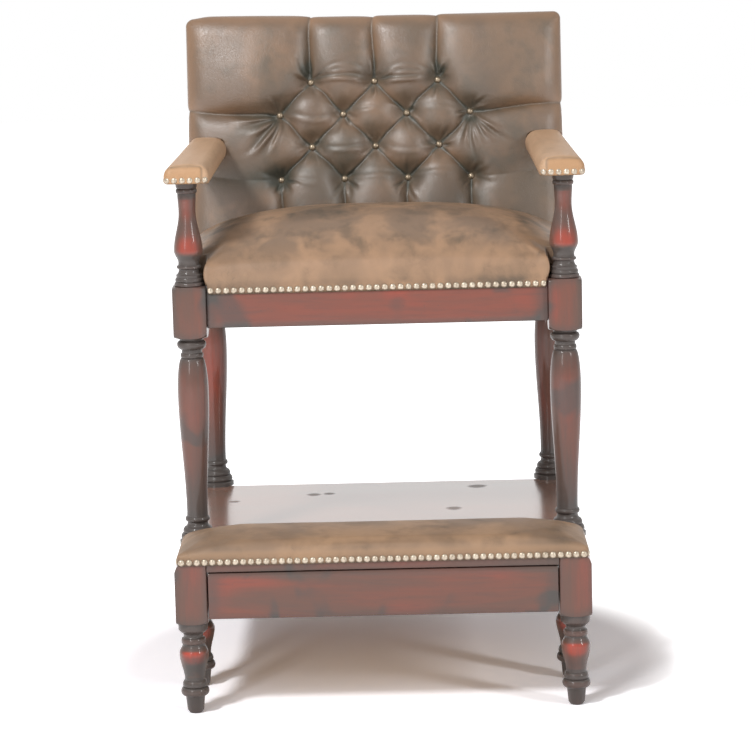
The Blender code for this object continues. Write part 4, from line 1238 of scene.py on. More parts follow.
@dataclass
class Seat:
    """The domed seat, its rails, deck and corner blocks."""

    half_width: float = 0.3245
    notch_x: float = 0.2759
    front: float = -0.20731
    notch_y: float = -0.15951
    rear: float = 0.23669
    lip: float = 0.019
    edge: float = 0.034
    crown: float = 0.097
    crown_place: float = 0.42
    crown_power: float = 3.2
    rear_fall: float = 0.34
    roll: float = 0.036
    side_roll: float = 0.8
    skirt: float = 0.015
    front_corner: float = 0.004
    inner_corner: float = 0.006
    notch_corner: float = 0.012
    rear_corner: float = 0.022
    edge_round: float = 0.013
    pressed_round: float = 0.0105
    press_height: float = 0.050
    spine: Pair = (0.08, 0.02)
    step: float = 0.006
    rail_edge: float = 0.0016
    band_edge: float = 0.0008

    def height(self, x: Array, y: Array) -> Array:
        """Swell of the seat over the rails."""
        place = np.clip((y - self.front) / (self.rear - self.front), 0, 1)
        front = np.clip(1 - place / self.crown_place, 0, 1)
        rear = np.clip((place - self.crown_place) / (1 - self.crown_place), 0, 1)
        fall = np.where(place < self.crown_place, 1 - front ** 2.0,
                        1 - self.rear_fall * rear ** 2)
        across = np.clip(1 - np.abs(x / self.half_width) ** self.crown_power, 0, 1)
        low = self.lip + (self.edge - self.lip) * quarter_round(y - self.front, self.roll)
        side = quarter_round(self.half_width - np.abs(x), self.roll * self.side_roll)
        low = self.lip + (low - self.lip) * side
        return low + (self.crown - self.edge) * fall * across * side

    def rounding(self, x: Array, y: Array) -> Array:
        """Reach of the rounded edge, short where the leather presses on a post."""
        away = np.hypot(np.maximum(self.notch_x - 0.006 - np.abs(x), 0),
                        np.maximum(y - self.notch_y - 0.006, 0))
        close = (1 - ease(0.0, 0.012, away)) * ease(0.001, 0.010, y - self.front)
        return self.edge_round - self.pressed_round * close

    def dress(self, points: Array, inside: Array) -> tuple[Array, dict]:
        """Painted shade in the notches and below the nails, and a rubbed front roll."""
        x, y, z = points[..., 0], points[..., 1], points[..., 2]
        # painted shade in the valley beside each post, and along the leather's lower edge
        # below the nails
        notch = np.hypot((np.abs(x) - self.notch_x - 0.004) / 0.016, (y - self.notch_y) / 0.03)
        fold = 0.30 * np.exp(-notch ** 2) * ease(0.690, 0.712, z)
        fold = fold + 0.5 * (1 - ease(0.6535, 0.6575, z))
        across = ease(self.notch_x - 0.014, self.notch_x - 0.001, np.abs(x))
        rise = np.clip((z - RAIL_TOP - 2 * GAP) / self.press_height, 0, 1)
        ahead = 1 - ease(-0.204, -0.190, y)
        press = (across * np.sin(math.pi * rise) * (0.0018 + 0.0050 * ahead)
                 * (y < self.notch_y - 0.002))
        points = points.copy()
        points[..., 0] += np.sign(x) * press
        roll = np.exp(-((y - self.front - 0.004) / 0.020) ** 2)
        rub = 0.75 * roll * ease(0.664, 0.680, z)
        return points, {"fold": np.clip(fold, 0, 1), "rub": rub}

    def lower(self, x: Array, y: Array) -> Array:
        """Lower edge of the leather: down over the rails, and level elsewhere."""
        over_front = (y < self.front + 0.0005) & (np.abs(x) < self.notch_x - 0.001)
        over_side = ((np.abs(x) > self.half_width - 0.0005) & (y > self.notch_y + 0.001)
                     & (y < self.rear - 0.002))
        return np.where(over_front | over_side, RAIL_TOP - self.skirt, RAIL_TOP + GAP / 2)

    def build(self, shop: Workshop) -> None:
        """Make the seat and its frame.

        Args:
            shop: Makes the pieces.
        """
        corners = mirrored([(self.notch_x, self.front, self.front_corner),
                            (self.notch_x, self.notch_y, self.inner_corner),
                            (self.half_width, self.notch_y, self.notch_corner),
                            (self.half_width, self.rear, self.rear_corner)])
        spine_x, spine_y = self.spine
        pad = Padding("seat_leather_pad", rounded_loop(corners, self.step), RAIL_TOP + GAP,
                      ((-spine_x, spine_y), (spine_x, spine_y)), self.height,
                      self.edge_round, self.lower, rings=40, swell=4.0, cap=0.002,
                      rounding=self.rounding, dress=self.dress)
        piece = shop.piece(pad.mesh(), shop.palette.seat, "seat_leather", ["seat_cushion"])
        low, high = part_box("rear_seat_band")
        band = rounded_board("rear_leather_band", low, high, self.band_edge)
        shop.piece(band, shop.palette.seat, "seat_leather", ["rear_seat_band"])
        stained = shop.palette.stained
        for node, grain, rub in (("seat_front_rail", Grain.ACROSS, 0.50),
                                 ("seat_rear_rail", Grain.ACROSS, 0.26),
                                 ("seat_side_rail_left", Grain.DEPTH, 0.26),
                                 ("seat_side_rail_right", Grain.DEPTH, 0.26)):
            low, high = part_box(node)
            shop.piece(rounded_board(f"stained_{node}", low, high, self.rail_edge, rub=rub),
                       stained[grain], "cherry_wood", [node])
        shop.keep(["seat_deck"], shop.palette.plywood)
        shop.keep([f"seat_corner_block_{place}_{side}" for place in ("front", "rear")
                   for side, _ in SIDES], shop.palette.poplar[Grain.UPRIGHT])


@dataclass
class Arms:
    """Two padded arms from the arm supports to the back."""

    inner_x: float = 0.265
    front_width: float = 0.070
    rear_width: float = 0.0645
    front: float = -0.22531
    corner: float = 0.012
    rear_corner: float = 0.003
    lower: float = ARM_BOARD_BOTTOM - 0.0015
    upper: float = ARM_BOARD_BOTTOM + 0.030
    wall: float = 0.008
    middle: float = 0.0335
    crown_half: float = 0.036
    crown_fall: float = 0.0045
    front_fall: float = 0.001
    edge_round: float = 0.012
    side_bulge: float = 0.0022
    flap_rise: float = 0.0011
    crease_in: float = 0.0064
    pleat_x: float = 0.0115
    step: float = 0.0022

    def rear(self) -> float:
        """Where the arms meet the raked stiles."""
        return STILE_FRONT_Y + (self.lower - RAIL_TOP) * math.tan(BACK_RAKE) - GAP

    def loop(self, side: int, step: float, inset: float = 0.0) -> Array:
        """Plan of an arm.

        Args:
            side: -1 for left, 1 for right.
            step: Distance between points.
            inset: How far inside the leather.

        Returns:
            The outline, anticlockwise.
        """
        inner, rear = self.inner_x + inset, self.rear() - inset
        corners = [(inner, self.front + inset, self.corner),
                   (self.inner_x + self.front_width - inset, self.front + inset, self.corner),
                   (self.inner_x + self.rear_width - inset, rear, self.rear_corner),
                   (inner, rear, self.rear_corner)]
        loop = rounded_loop(corners, step)
        return loop if side > 0 else (loop * [-1, 1])[::-1]

    def _flap(self, points: Array, inside: Array, side: int) -> tuple[Array, dict]:
        """Fold the front leather up under a crease that ends in a pleat.

        Args:
            points: The cover's points.
            inside: Their distance from the outline.
            side: -1 for left, 1 for right.

        Returns:
            The points, with their painted shade and how tanned they are.
        """
        x, y = side * points[..., 0], points[..., 1]
        at_front = 1 - ease(self.front + 0.008, self.front + 0.014, y)
        beyond = ease(self.inner_x + 0.011, self.inner_x + 0.0135, x)
        flap = at_front * beyond * (1 - ease(0.0042, 0.0058, inside))
        placed = points.copy()
        rise = np.clip((points[..., 2] - self.lower) / (self.upper - self.lower), 0, 1)
        across = np.clip((x - self.inner_x - self.middle) / 0.030, -1, 1)
        placed[..., 0] += side * self.side_bulge * np.sin(math.pi * rise) * across
        placed[..., 1] -= self.flap_rise * flap
        placed[..., 2] += 0.0009 * flap * (inside > 0)
        crease = at_front * beyond * np.exp(-((inside - self.crease_in) / 0.0017) ** 2)
        pleat = at_front * (inside < 0.006) * np.exp(
            -((x - self.inner_x - self.pleat_x) / 0.0016) ** 2)
        low = 1 - ease(self.lower, self.lower + 0.003, points[..., 2])
        # painted shade along the crease, in the pleat and at the lower edge
        fold = np.clip(0.42 * crease + 0.45 * pleat + 0.30 * low, 0, 1)
        return placed, {"fold": fold, "glaze": 0.85 * flap}

    def build(self, shop: Workshop) -> None:
        """Make both arms.

        Args:
            shop: Makes the pieces.
        """
        base = self.lower + self.wall
        for side_name, side in SIDES:
            middle = side * (self.inner_x + self.middle)

            def height(x: Array, y: Array, middle: float = middle) -> Array:
                """Crowned top."""
                across = np.clip(np.abs(x - middle) / self.crown_half, 0, 1)
                ahead = ease(0.0, 0.05, y - self.front)
                return (self.upper - base - self.crown_fall * across ** 2
                        - self.front_fall * (1 - ahead))

            def dress(points: Array, inside: Array, side: int = side) -> tuple[Array, dict]:
                """Front flap, laid over the top's leather."""
                return self._flap(points, inside, side)

            pad = Padding(f"arm_leather_pad_{side_name}", self.loop(side, self.step), base,
                          ((middle, self.front + 0.034), (middle - side * 0.003, 0.27)),
                          height, self.edge_round,
                          lambda x, y: np.full(len(x), self.lower),
                          rings=12, swell=3.0, cap=0.0010, dress=dress)
            piece = shop.piece(pad.mesh(), shop.palette.arm, "arm_leather",
                               [f"arm_pad_{side_name}"])
        shop.keep([f"arm_board_{side}" for side, _ in SIDES],
                  shop.palette.poplar[Grain.DEPTH])


@dataclass
class Back:
    """The raked back: diamond tufting, buttons, and a plain leather outside."""

    half_width: float = 0.331
    height: float = BACK_HEIGHT
    foot: float = 0.006
    thick: float = 0.045
    edge: float = 0.012
    corner: float = 0.013
    frame_depth: float = 0.030
    pitch: float = 0.112
    row: float = 0.057
    top_drop: float = 0.1165
    rows: int = 4
    wide: int = 4
    pleat_depth: float = 0.0190
    pleat_width: float = 0.0140
    pit_depth: float = 0.0080
    pit_width: float = 0.0170
    pillow: float = 0.0052
    lip: float = 0.0030
    side_rise: float = 0.012
    nick: float = 0.0030
    lip_width: float = 0.0080
    line_width: float = 0.0023
    bulge: float = 0.0045
    bulge_place: Pair = (-0.213, 0.305)
    sway: float = 0.0026
    dome_reach: float = 0.150
    round_share: float = 0.60
    arm_inner: float = 0.2650
    tuck_inner: float = 0.2715
    tuck_bottom: float = 0.1690
    tuck_top: float = 0.1780
    tuck_crown: float = 0.0095
    tuck_depth: float = 0.004
    panel_inset: float = 0.003
    panel_foot: float = 0.004
    step: float = 0.0018
    seed: int = 11
    fans: Table = (
        (0, -1, (48, 61, 74, 86), 0.058, 0.0036), (0, 1, (52, 76), 0.042, 0.0026),
        (1, -1, (-12, -25, -38, -52, -66, -82), 0.092, 0.0036),
        (1, 1, (-54, -70, -86, -101, -115), 0.085, 0.0034),
        (3, -1, (-30, -2, 22), 0.042, 0.0012), (3, 1, (-24, -4, 14), 0.045, 0.0013))
    # painted shade round each button, partly the leather's own darker antique colour: weight,
    # rise above the button and size
    pockets: Table = ((0.60, 0.006, 0.0120), (0.48, 0.014, 0.0330))
    top_pulls: Table = ((0.0024, 0.004), (0.0017, 0.015), (0.0009, 0.026))
    # painted shadow and shade: dark ovals beside and below the arms, low over the seat and on
    # the upper right, as x, rise, two radii and weight
    painted_shade_spots: Table = (
        (-0.215, 0.120, 0.085, 0.028, 0.62), (-0.160, 0.080, 0.022, 0.055, 0.30),
        (0.262, 0.100, 0.060, 0.085, 0.50), (0.250, 0.190, 0.030, 0.016, 0.45),
        (0.215, 0.310, 0.110, 0.090, 0.26),
        (-0.075, 0.075, 0.120, 0.040, 0.22), (0.110, 0.070, 0.110, 0.045, 0.35))

    def places(self) -> list[list[Pair]]:
        """Places of the buttons, row by row from the top."""
        rows = []
        for number in range(self.rows):
            count = self.wide - (number + 1) % 2
            first = -self.pitch * (count - 1) / 2
            rise = self.height - self.top_drop - self.row * number
            rows.append([(first + self.pitch * index, rise) for index in range(count)])
        return rows

    def pleats(self, rows: list[list[Pair]]) -> list[tuple]:
        """Pleats between buttons and out to the edges: two ends and a weight."""
        lines = []
        for upper, lower in zip(rows, rows[1:]):
            for start in upper:
                lines += [(start, end, 1.0) for end in lower
                          if abs(abs(end[0] - start[0]) - self.pitch / 2) < self.pitch / 10]
        lines += [(place, (place[0], self.height + 0.03), 1.0) for place in rows[0]]
        lines += [(place, (place[0], self.foot - 0.01), 0.9) for place in rows[-1]]
        for index, weight in ((1, 0.9), (3, 0.15)):
            for place, side in ((rows[index][0], -1), (rows[index][-1], 1)):
                lines.append((place, (side * (self.half_width + 0.01),
                                      place[1] + self.side_rise), weight))
        return lines

    @staticmethod
    def _to_line(x: Array, w: Array, start: Pair, end: Pair) -> tuple[Array, Array]:
        """Distance to a pleat, and how far a place lies above it or right of it."""
        dx, dw = end[0] - start[0], end[1] - start[1]
        length = math.hypot(dx, dw)
        share = np.clip(((x - start[0]) * dx + (w - start[1]) * dw) / length ** 2, 0, 1)
        gap = np.hypot(x - start[0] - share * dx, w - start[1] - share * dw)
        turn = 1 if dx > 1e-6 or (abs(dx) < 1e-6 and dw < 0) else -1
        return gap, turn * (dx * (w - start[1]) - dw * (x - start[0])) / length

    def _dome(self, distance: Array) -> Array:
        """Rise of the padding inwards from an edge: a quick round, then a slow dome."""
        slow = 1 - (1 - np.clip(distance / self.dome_reach, 0, 1)) ** 2
        quick = quarter_round(distance, self.thick * 0.75)
        return self.round_share * quick + (1 - self.round_share) * slow

    def depth(self, x: Array, w: Array) -> tuple[Array, ...]:
        """Depth of the padding in front of the frame, and its wear.

        Args:
            x: Places across.
            w: Heights along the rake.

        Returns:
            Depth at each place, its painted shade, and how rubbed and tanned it is.
        """
        rows = self.places()
        buttons = [place for row in rows for place in row]
        flank, above = self.half_width - np.abs(x), self.height - w
        rounding = self._dome(flank) * self._dome(above)
        button = np.min([np.hypot(x - bx, w - bw) for bx, bw in buttons], axis=0)
        sway = self.sway * ease(0.004, 0.035, button)
        x, w = (x + sway * np.sin(37.0 * w + 23.0 * x) * np.cos(41.0 * x + 0.6),
                w + sway * np.sin(29.0 * x - 45.0 * w + 1.1))
        clear = ease(0.003, 0.014, button)
        level, lip, line = np.ones(x.shape), 0.0, 0.0
        for start, end, weight in self.pleats(rows):
            gap, across = self._to_line(x, w, start, end)
            over = ease(-0.0013, 0.0013, across)
            level = level * (1 - weight * np.exp(-gap / self.pleat_width))
            near = np.exp(-gap / self.lip_width)
            lip = np.maximum(lip, weight * near * over * clear)
            # painted shade: a dark line along each pleat, and shade below its lip
            line = np.maximum(line, weight * (0.58 * np.exp(-(gap / self.line_width) ** 2)
                                              + 0.26 * near * (1 - over)))
        dip = (self.pleat_depth * (1 - level) - self.pillow * level
               + self.pit_depth * np.exp(-(button / self.pit_width) ** 2))
        lift, crease = self._gathers(x, w, rows)
        bulge_x, bulge_w = self.bulge_place
        away = np.hypot(x - bulge_x, w - bulge_w)
        lift = lift + self.bulge * np.exp(-away ** 2 / 0.0036)
        inside = ease(0.0, 0.02, np.minimum(flank, above))
        depth = (self.edge + (self.thick - self.edge - dip) * rounding
                 + self.lip * lip * rounding + lift * inside)
        # painted shade round the buttons, partly antique darkening
        pocket = np.max(
            [weight * np.exp(-(np.hypot((x - bx) / 1.2, w - bw - rise) / size) ** 2)
             for bx, bw in buttons for weight, rise, size in self.pockets], axis=0)
        # painted shadow and shade in the listed ovals
        stain = np.max([weight * np.exp(-(((x - sx) / rx) ** 2 + ((w - sw) / rw) ** 2))
                        for sx, sw, rx, rw, weight in self.painted_shade_spots], axis=0)
        line = line * (0.62 + 0.38 * np.exp(-button / 0.025))
        # all the painted shade of the cover: pleat lines, button pockets, fold valleys and
        # shadows
        fold = line + pocket + crease + stain
        border = np.minimum(flank, above)
        rub = 0.50 * (1 - ease(0.004, 0.032, border)) + lip * 0.60
        tan = 0.50 * (1 - ease(0.002, 0.022, border)) + 0.35 * lip
        return (depth, np.clip(fold, 0, 1), np.clip(rub * (1 - stain), 0, 1),
                np.clip(tan * (1 - fold), 0, 1))

    def _gathers(self, x: Array, w: Array, rows: list[list[Pair]]) -> tuple[Array, Array]:
        """Folds that run out from the buttons, and pulls between neighbours in a row: their
        lift, and painted shade in their valleys.
        """
        random = np.random.default_rng(self.seed)
        folds = []
        for row in rows:
            for bx, bw in row:
                for _ in range(9):
                    folds.append((bx, bw, random.uniform(0, 2 * math.pi),
                                  random.uniform(0.018, 0.046), random.uniform(0.0007, 0.0022),
                                  random.uniform(0.0020, 0.0040), random.uniform(-10, 10)))
        for number, side, fan, length, height in self.fans:
            bx, bw = rows[number][0 if side < 0 else -1]
            for degrees in fan:
                angle = math.radians(degrees + random.uniform(-3, 3))
                angle = angle if side > 0 else math.pi - angle
                folds.append((bx, bw, angle, length * random.uniform(0.8, 1.1),
                              height * random.uniform(0.8, 1.15), 0.0044,
                              side * random.uniform(0.0, 4.0)))
        lift, crease = np.zeros_like(x), np.zeros_like(x)
        for bx, bw, angle, length, height, width, bend in folds:
            along = (x - bx) * math.cos(angle) + (w - bw) * math.sin(angle)
            off = -(x - bx) * math.sin(angle) + (w - bw) * math.cos(angle) - bend * along ** 2
            envelope = (ease(0.004, 0.016, along)
                        * (1 - ease(length * 0.45, length, along)))
            spread = np.maximum(width * (0.55 + along / length), 1e-4)
            valley = np.exp(-(off / spread) ** 2)
            ridge = np.exp(-((off - 1.7 * spread) / spread) ** 2)
            lift += height * envelope * (ridge - valley)
            # painted shade in each fold's valley
            crease += 120.0 * height * envelope * valley
        for number, row in enumerate(rows):
            for (ax, aw), (bx, _) in zip(row, row[1:]):
                share = (x - ax) / (bx - ax)
                pulls = self.top_pulls if number == 0 else (
                    (random.uniform(0.0005, 0.0014), random.choice((-0.009, 0.008))),)
                for height, bow in pulls:
                    start, end = random.uniform(-0.05, 0.25), random.uniform(0.60, 1.05)
                    part = ease(start, start + 0.25, share)
                    part = part * (1 - ease(end - 0.25, end, share))
                    off = w - aw - bow * np.sin(math.pi * share)
                    lift += height * part * (np.exp(-((off + 0.002) / 0.0048) ** 2)
                                             - np.exp(-((off - 0.006) / 0.004) ** 2))
                    # painted shade in each pull's crease
                    crease += 170.0 * height * part * np.exp(-((off - 0.005) / 0.0030) ** 2)
        return lift, np.clip(crease, 0, 0.6)

    def arm_tuck(self, x: Array, w: Array, depth: Array) -> Array:
        """Draw the padding in where the arms pass through to the stiles."""
        across = np.maximum(self.tuck_inner - np.abs(x), 0)
        beside = np.minimum(np.abs(x) - self.arm_inner, self.half_width + 0.003 - np.abs(x))
        top = self.tuck_top + self.tuck_crown * quarter_round(beside, 0.016)
        up = np.maximum(np.maximum(self.tuck_bottom - w, w - top), 0)
        tuck = 1 - ease(0.0, 0.0045, np.hypot(across, up))
        return depth * (1 - tuck) + np.minimum(depth, self.tuck_depth) * tuck

    def build(self, shop: Workshop) -> None:
        """Make the cushion and the outside.

        Args:
            shop: Makes the pieces.
        """
        pad = shop.piece(self.cushion_mesh(), shop.palette.back, "back_leather",
                         ["back_cushion"])
        self._build_outside(shop)
        shop.keep(["back_lower_rail", "back_top_rail"], shop.palette.poplar[Grain.ACROSS])
        shop.keep(["tufting_board"], shop.palette.plywood)

    def cushion_mesh(self) -> Mesh:
        """Build the tufted cover, wrapped over the frame's sides and top.

        Returns:
            The closed mesh.
        """
        across = round(2 * self.half_width / self.step)
        along = round((self.height - self.foot) / self.step)
        x, w = np.meshgrid(np.linspace(-self.half_width, self.half_width, across + 1),
                           np.linspace(self.foot, self.height, along + 1), indexing="xy")
        depth, fold, rub, tan = self.depth(x, w)
        depth = self.arm_tuck(x, w, depth)
        plan_x, plan_w = self._outline(x, w)
        shell = Shell()
        numbers = shell.add(raked_points(np.stack([plan_x, depth, plan_w], axis=-1)),
                            fold=fold, rub=rub, glaze=tan)
        shell.quads(numbers)
        rim = np.concatenate([numbers[0, :-1], numbers[:-1, -1], numbers[-1, :0:-1],
                              numbers[:0:-1, 0]])
        flat = np.stack([plan_x.ravel(), depth.ravel(), plan_w.ravel()], axis=-1)[rim]
        loops = [rim]
        for share in (0.25, 0.5, 0.75, 1.0):
            ring = flat.copy()
            ring[:, 1] = flat[:, 1] + (-self.frame_depth - flat[:, 1]) * share
            loops.append(shell.add(raked_points(ring)))
        shell.quads(np.stack(loops), round_rows=True)
        centre = raked(0, -self.frame_depth, (self.foot + self.height) / 2)
        shell.cap(loops[-1], centre)
        return shell.mesh("tufted_back")

    def _outline(self, x: Array, w: Array) -> tuple[Array, Array]:
        """Round the top corners, and pull the outline in where pleats run over it."""
        radius = self.corner
        dx = np.abs(x) - (self.half_width - radius)
        dw = w - (self.height - radius)
        inside = (dx > 0) & (dw > 0)
        scale = np.where(inside, np.maximum(dx, dw) / np.maximum(np.hypot(dx, dw), 1e-9), 1)
        new_x = np.where(inside, np.sign(x) * (self.half_width - radius + dx * scale), x)
        new_w = np.where(inside, self.height - radius + dw * scale, w)
        rows = self.places()
        above = [x - place[0] for place in rows[0]]
        beside = [w - rows[index][0][1] - self.side_rise for index in (1, 3)]
        pull = [sum(np.exp(-np.abs(gap) / np.where(gap > 0, 0.004, 0.016)) for gap in gaps)
                for gaps in (above, beside)]
        top = ease(self.height - 0.050, self.height, w)
        flank = ease(self.half_width - 0.040, self.half_width, np.abs(x))
        first = rows[0][0][0]
        raised = (ease(-self.half_width, -0.285, x)
                  * (1 - ease(first, first + 0.002, x))
                  * (0.6 + 0.4 * ease(first, -0.28, x)))
        new_w = new_w + 0.005 * raised * top
        return (new_x - np.sign(x) * self.nick * pull[1] * flank,
                new_w - self.nick * pull[0] * top)

    def _build_outside(self, shop: Workshop) -> None:
        """Make the plain leather panel behind."""
        low_x, high_x = -self.half_width + self.panel_inset, self.half_width - self.panel_inset
        low_w, high_w = self.panel_foot, self.height - self.panel_inset
        x, w = np.meshgrid(np.linspace(low_x, high_x, 120), np.linspace(low_w, high_w, 74),
                           indexing="xy")
        edge = np.minimum(np.minimum(x - low_x, high_x - x), np.minimum(w - low_w, high_w - w))
        front, rear = -self.frame_depth - GAP, -self.frame_depth - GAP - 0.003
        depth = front + (rear - front) * (0.35 + 0.65 * quarter_round(edge, 0.004))
        shell = Shell()
        outer = shell.add(raked_points(np.stack([x, depth, w], axis=-1)))
        shell.quads(outer)
        inner = shell.add(raked_points(np.stack([x, np.full_like(x, front), w], axis=-1)))
        shell.quads(inner)
        for numbers in (np.stack([outer[0], inner[0]]), np.stack([outer[-1], inner[-1]]),
                        np.stack([outer[:, 0], inner[:, 0]]),
                        np.stack([outer[:, -1], inner[:, -1]])):
            shell.quads(numbers)
        shop.piece(shell.mesh("outside_back_leather"), shop.palette.back, "back_leather",
                   ["outside_back"])


class NailTree(Nodes):
    """Geometry Nodes that set domed heads along rows of points."""

    inputs = (("Rows", "Geometry"), ("Pitch", "Float"), ("Radius", "Float"),
              ("Height", "Float"), ("Tilt", "Float"), ("Seed", "Int"),
              ("Metal", "Material"), ("Single", "Bool"))
    underside = -0.15  # where a head is cut flat, as a share of its height
    tilt = 0.07
    seed = 5

    def __init__(self) -> None:
        """Make the tree with its named inputs, and lay out its nodes."""
        super().__init__(bpy.data.node_groups.new("domed_heads", "GeometryNodeTree"))
        face = self.tree.interface
        for name, kind in self.inputs:
            face.new_socket(name, in_out="INPUT", socket_type=f"NodeSocket{kind}")
        face.new_socket("Heads", in_out="OUTPUT", socket_type="NodeSocketGeometry")
        source = self.tree.nodes.new("NodeGroupInput")
        given = {name: Wire(self, source.outputs[name]) for name, _ in self.inputs}
        heads = self._heads(given)
        sink = self.tree.nodes.new("NodeGroupOutput")
        self.tree.links.new(heads.socket, sink.inputs["Heads"])

    def _heads(self, given: dict[str, Wire]) -> Wire:
        """Lay out the rows, the heads, their turn and their tone.

        Args:
            given: The tree's inputs by name.

        Returns:
            The heads as plain faces.
        """
        curve = self.node("GeometryNodeMeshToCurve", {}, {"Mesh": given["Rows"]})
        spaced = self.node("GeometryNodeResampleCurve", {"mode": "LENGTH"},
                           {"Curve": curve, "Length": given["Pitch"]})
        points = self.node("GeometryNodeSwitch", {"input_type": "GEOMETRY"},
                           {"Switch": given["Single"], "False": spaced,
                            "True": given["Rows"]})
        ball = self.node("GeometryNodeMeshUVSphere", {},
                         {"Segments": 12, "Rings": 6, "Radius": 1.0})
        cut = self.node("ShaderNodeVectorMath", {"operation": "MAXIMUM"},
                        {0: self.node("GeometryNodeInputPosition"),
                         1: (-2.0, -2.0, self.underside)})
        dome = self.node("GeometryNodeSetPosition", {}, {"Geometry": ball, "Position": cut})
        size = self._vector(given["Radius"], given["Radius"], given["Height"])
        scaled = self.node("GeometryNodeTransform", {}, {"Geometry": dome, "Scale": size})
        facing = self.node("GeometryNodeInputNamedAttribute", {"data_type": "FLOAT_VECTOR"},
                           {"Name": "facing"}, output="Attribute")
        aligned = self.node("FunctionNodeAlignRotationToVector", {"axis": "Z"},
                            {"Vector": facing})
        tilt = given["Tilt"]
        turn = self.node("FunctionNodeRandomValue", {"data_type": "FLOAT_VECTOR"},
                         {"Min": self._vector(tilt * -1.0, tilt * -1.0, 0.0),
                          "Max": self._vector(tilt, tilt, 0.0), "Seed": given["Seed"]},
                         output="Value")
        euler = self.node("FunctionNodeEulerToRotation", {}, {"Euler": turn})
        tilted = self.node("FunctionNodeRotateRotation", {"rotation_space": "LOCAL"},
                           {"Rotation": aligned, "Rotate By": euler})
        heads = self.node("GeometryNodeInstanceOnPoints", {},
                          {"Points": points, "Instance": scaled, "Rotation": tilted})
        tone = self.node("FunctionNodeRandomValue", {"data_type": "FLOAT"},
                         {"Seed": given["Seed"]}, output=1)
        toned = self.node("GeometryNodeStoreNamedAttribute",
                          {"data_type": "FLOAT", "domain": "INSTANCE"},
                          {"Geometry": heads, "Name": "tone", "Value": tone})
        real = self.node("GeometryNodeRealizeInstances", {}, {"Geometry": toned})
        smooth = self.node("GeometryNodeSetShadeSmooth", {}, {"Geometry": real})
        return self.node("GeometryNodeSetMaterial", {},
                         {"Geometry": smooth, "Material": given["Metal"]})

    def _vector(self, x: Wire, y: Wire, z: Wire | float) -> Wire:
        """Put three values together."""
        return self.node("ShaderNodeCombineXYZ", {}, {"X": x, "Y": y, "Z": z})

    def mesh(self, name: str, rows: list[Row], metal: Material, radius: float,
             height: float, pitch: float, single: bool = False) -> Mesh:
        """Set heads along rows and return them as one plain mesh.

        Args:
            name: The mesh's name.
            rows: For each row, its points and the way each faces.
            metal: The heads' finish.
            radius: Radius of a head.
            height: Height of a head.
            pitch: Distance between heads.
            single: Whether each point takes one head, with no spacing.

        Returns:
            The mesh.
        """
        points = [point for row, _ in rows for point in row]
        faces = [way for _, ways in rows for way in ways]
        edges, start = [], 0
        for row, _ in rows:
            edges += [(start + index, start + index + 1) for index in range(len(row) - 1)]
            start += len(row)
        path = bpy.data.meshes.new(name + "_rows")
        path.from_pydata(points, [] if single else edges, [])
        layer = path.attributes.new("facing", "FLOAT_VECTOR", "POINT")
        layer.data.foreach_set("vector", np.array(faces, np.float32).ravel())
        carrier = linked(name + "_rows", path)
        modifier = carrier.modifiers.new("Heads", "NODES")
        modifier.node_group = self.tree
        values = {"Pitch": pitch, "Radius": radius, "Height": height, "Tilt": self.tilt,
                  "Seed": self.seed, "Metal": metal, "Single": single}
        for item in self.tree.interface.items_tree:
            if item.name in values:
                modifier[item.identifier] = values[item.name]
        carrier.update_tag()
        graph = bpy.context.evaluated_depsgraph_get()
        mesh = bpy.data.meshes.new_from_object(carrier.evaluated_get(graph))
        mesh.name = name
        bpy.data.objects.remove(carrier, do_unlink=True)
        return mesh


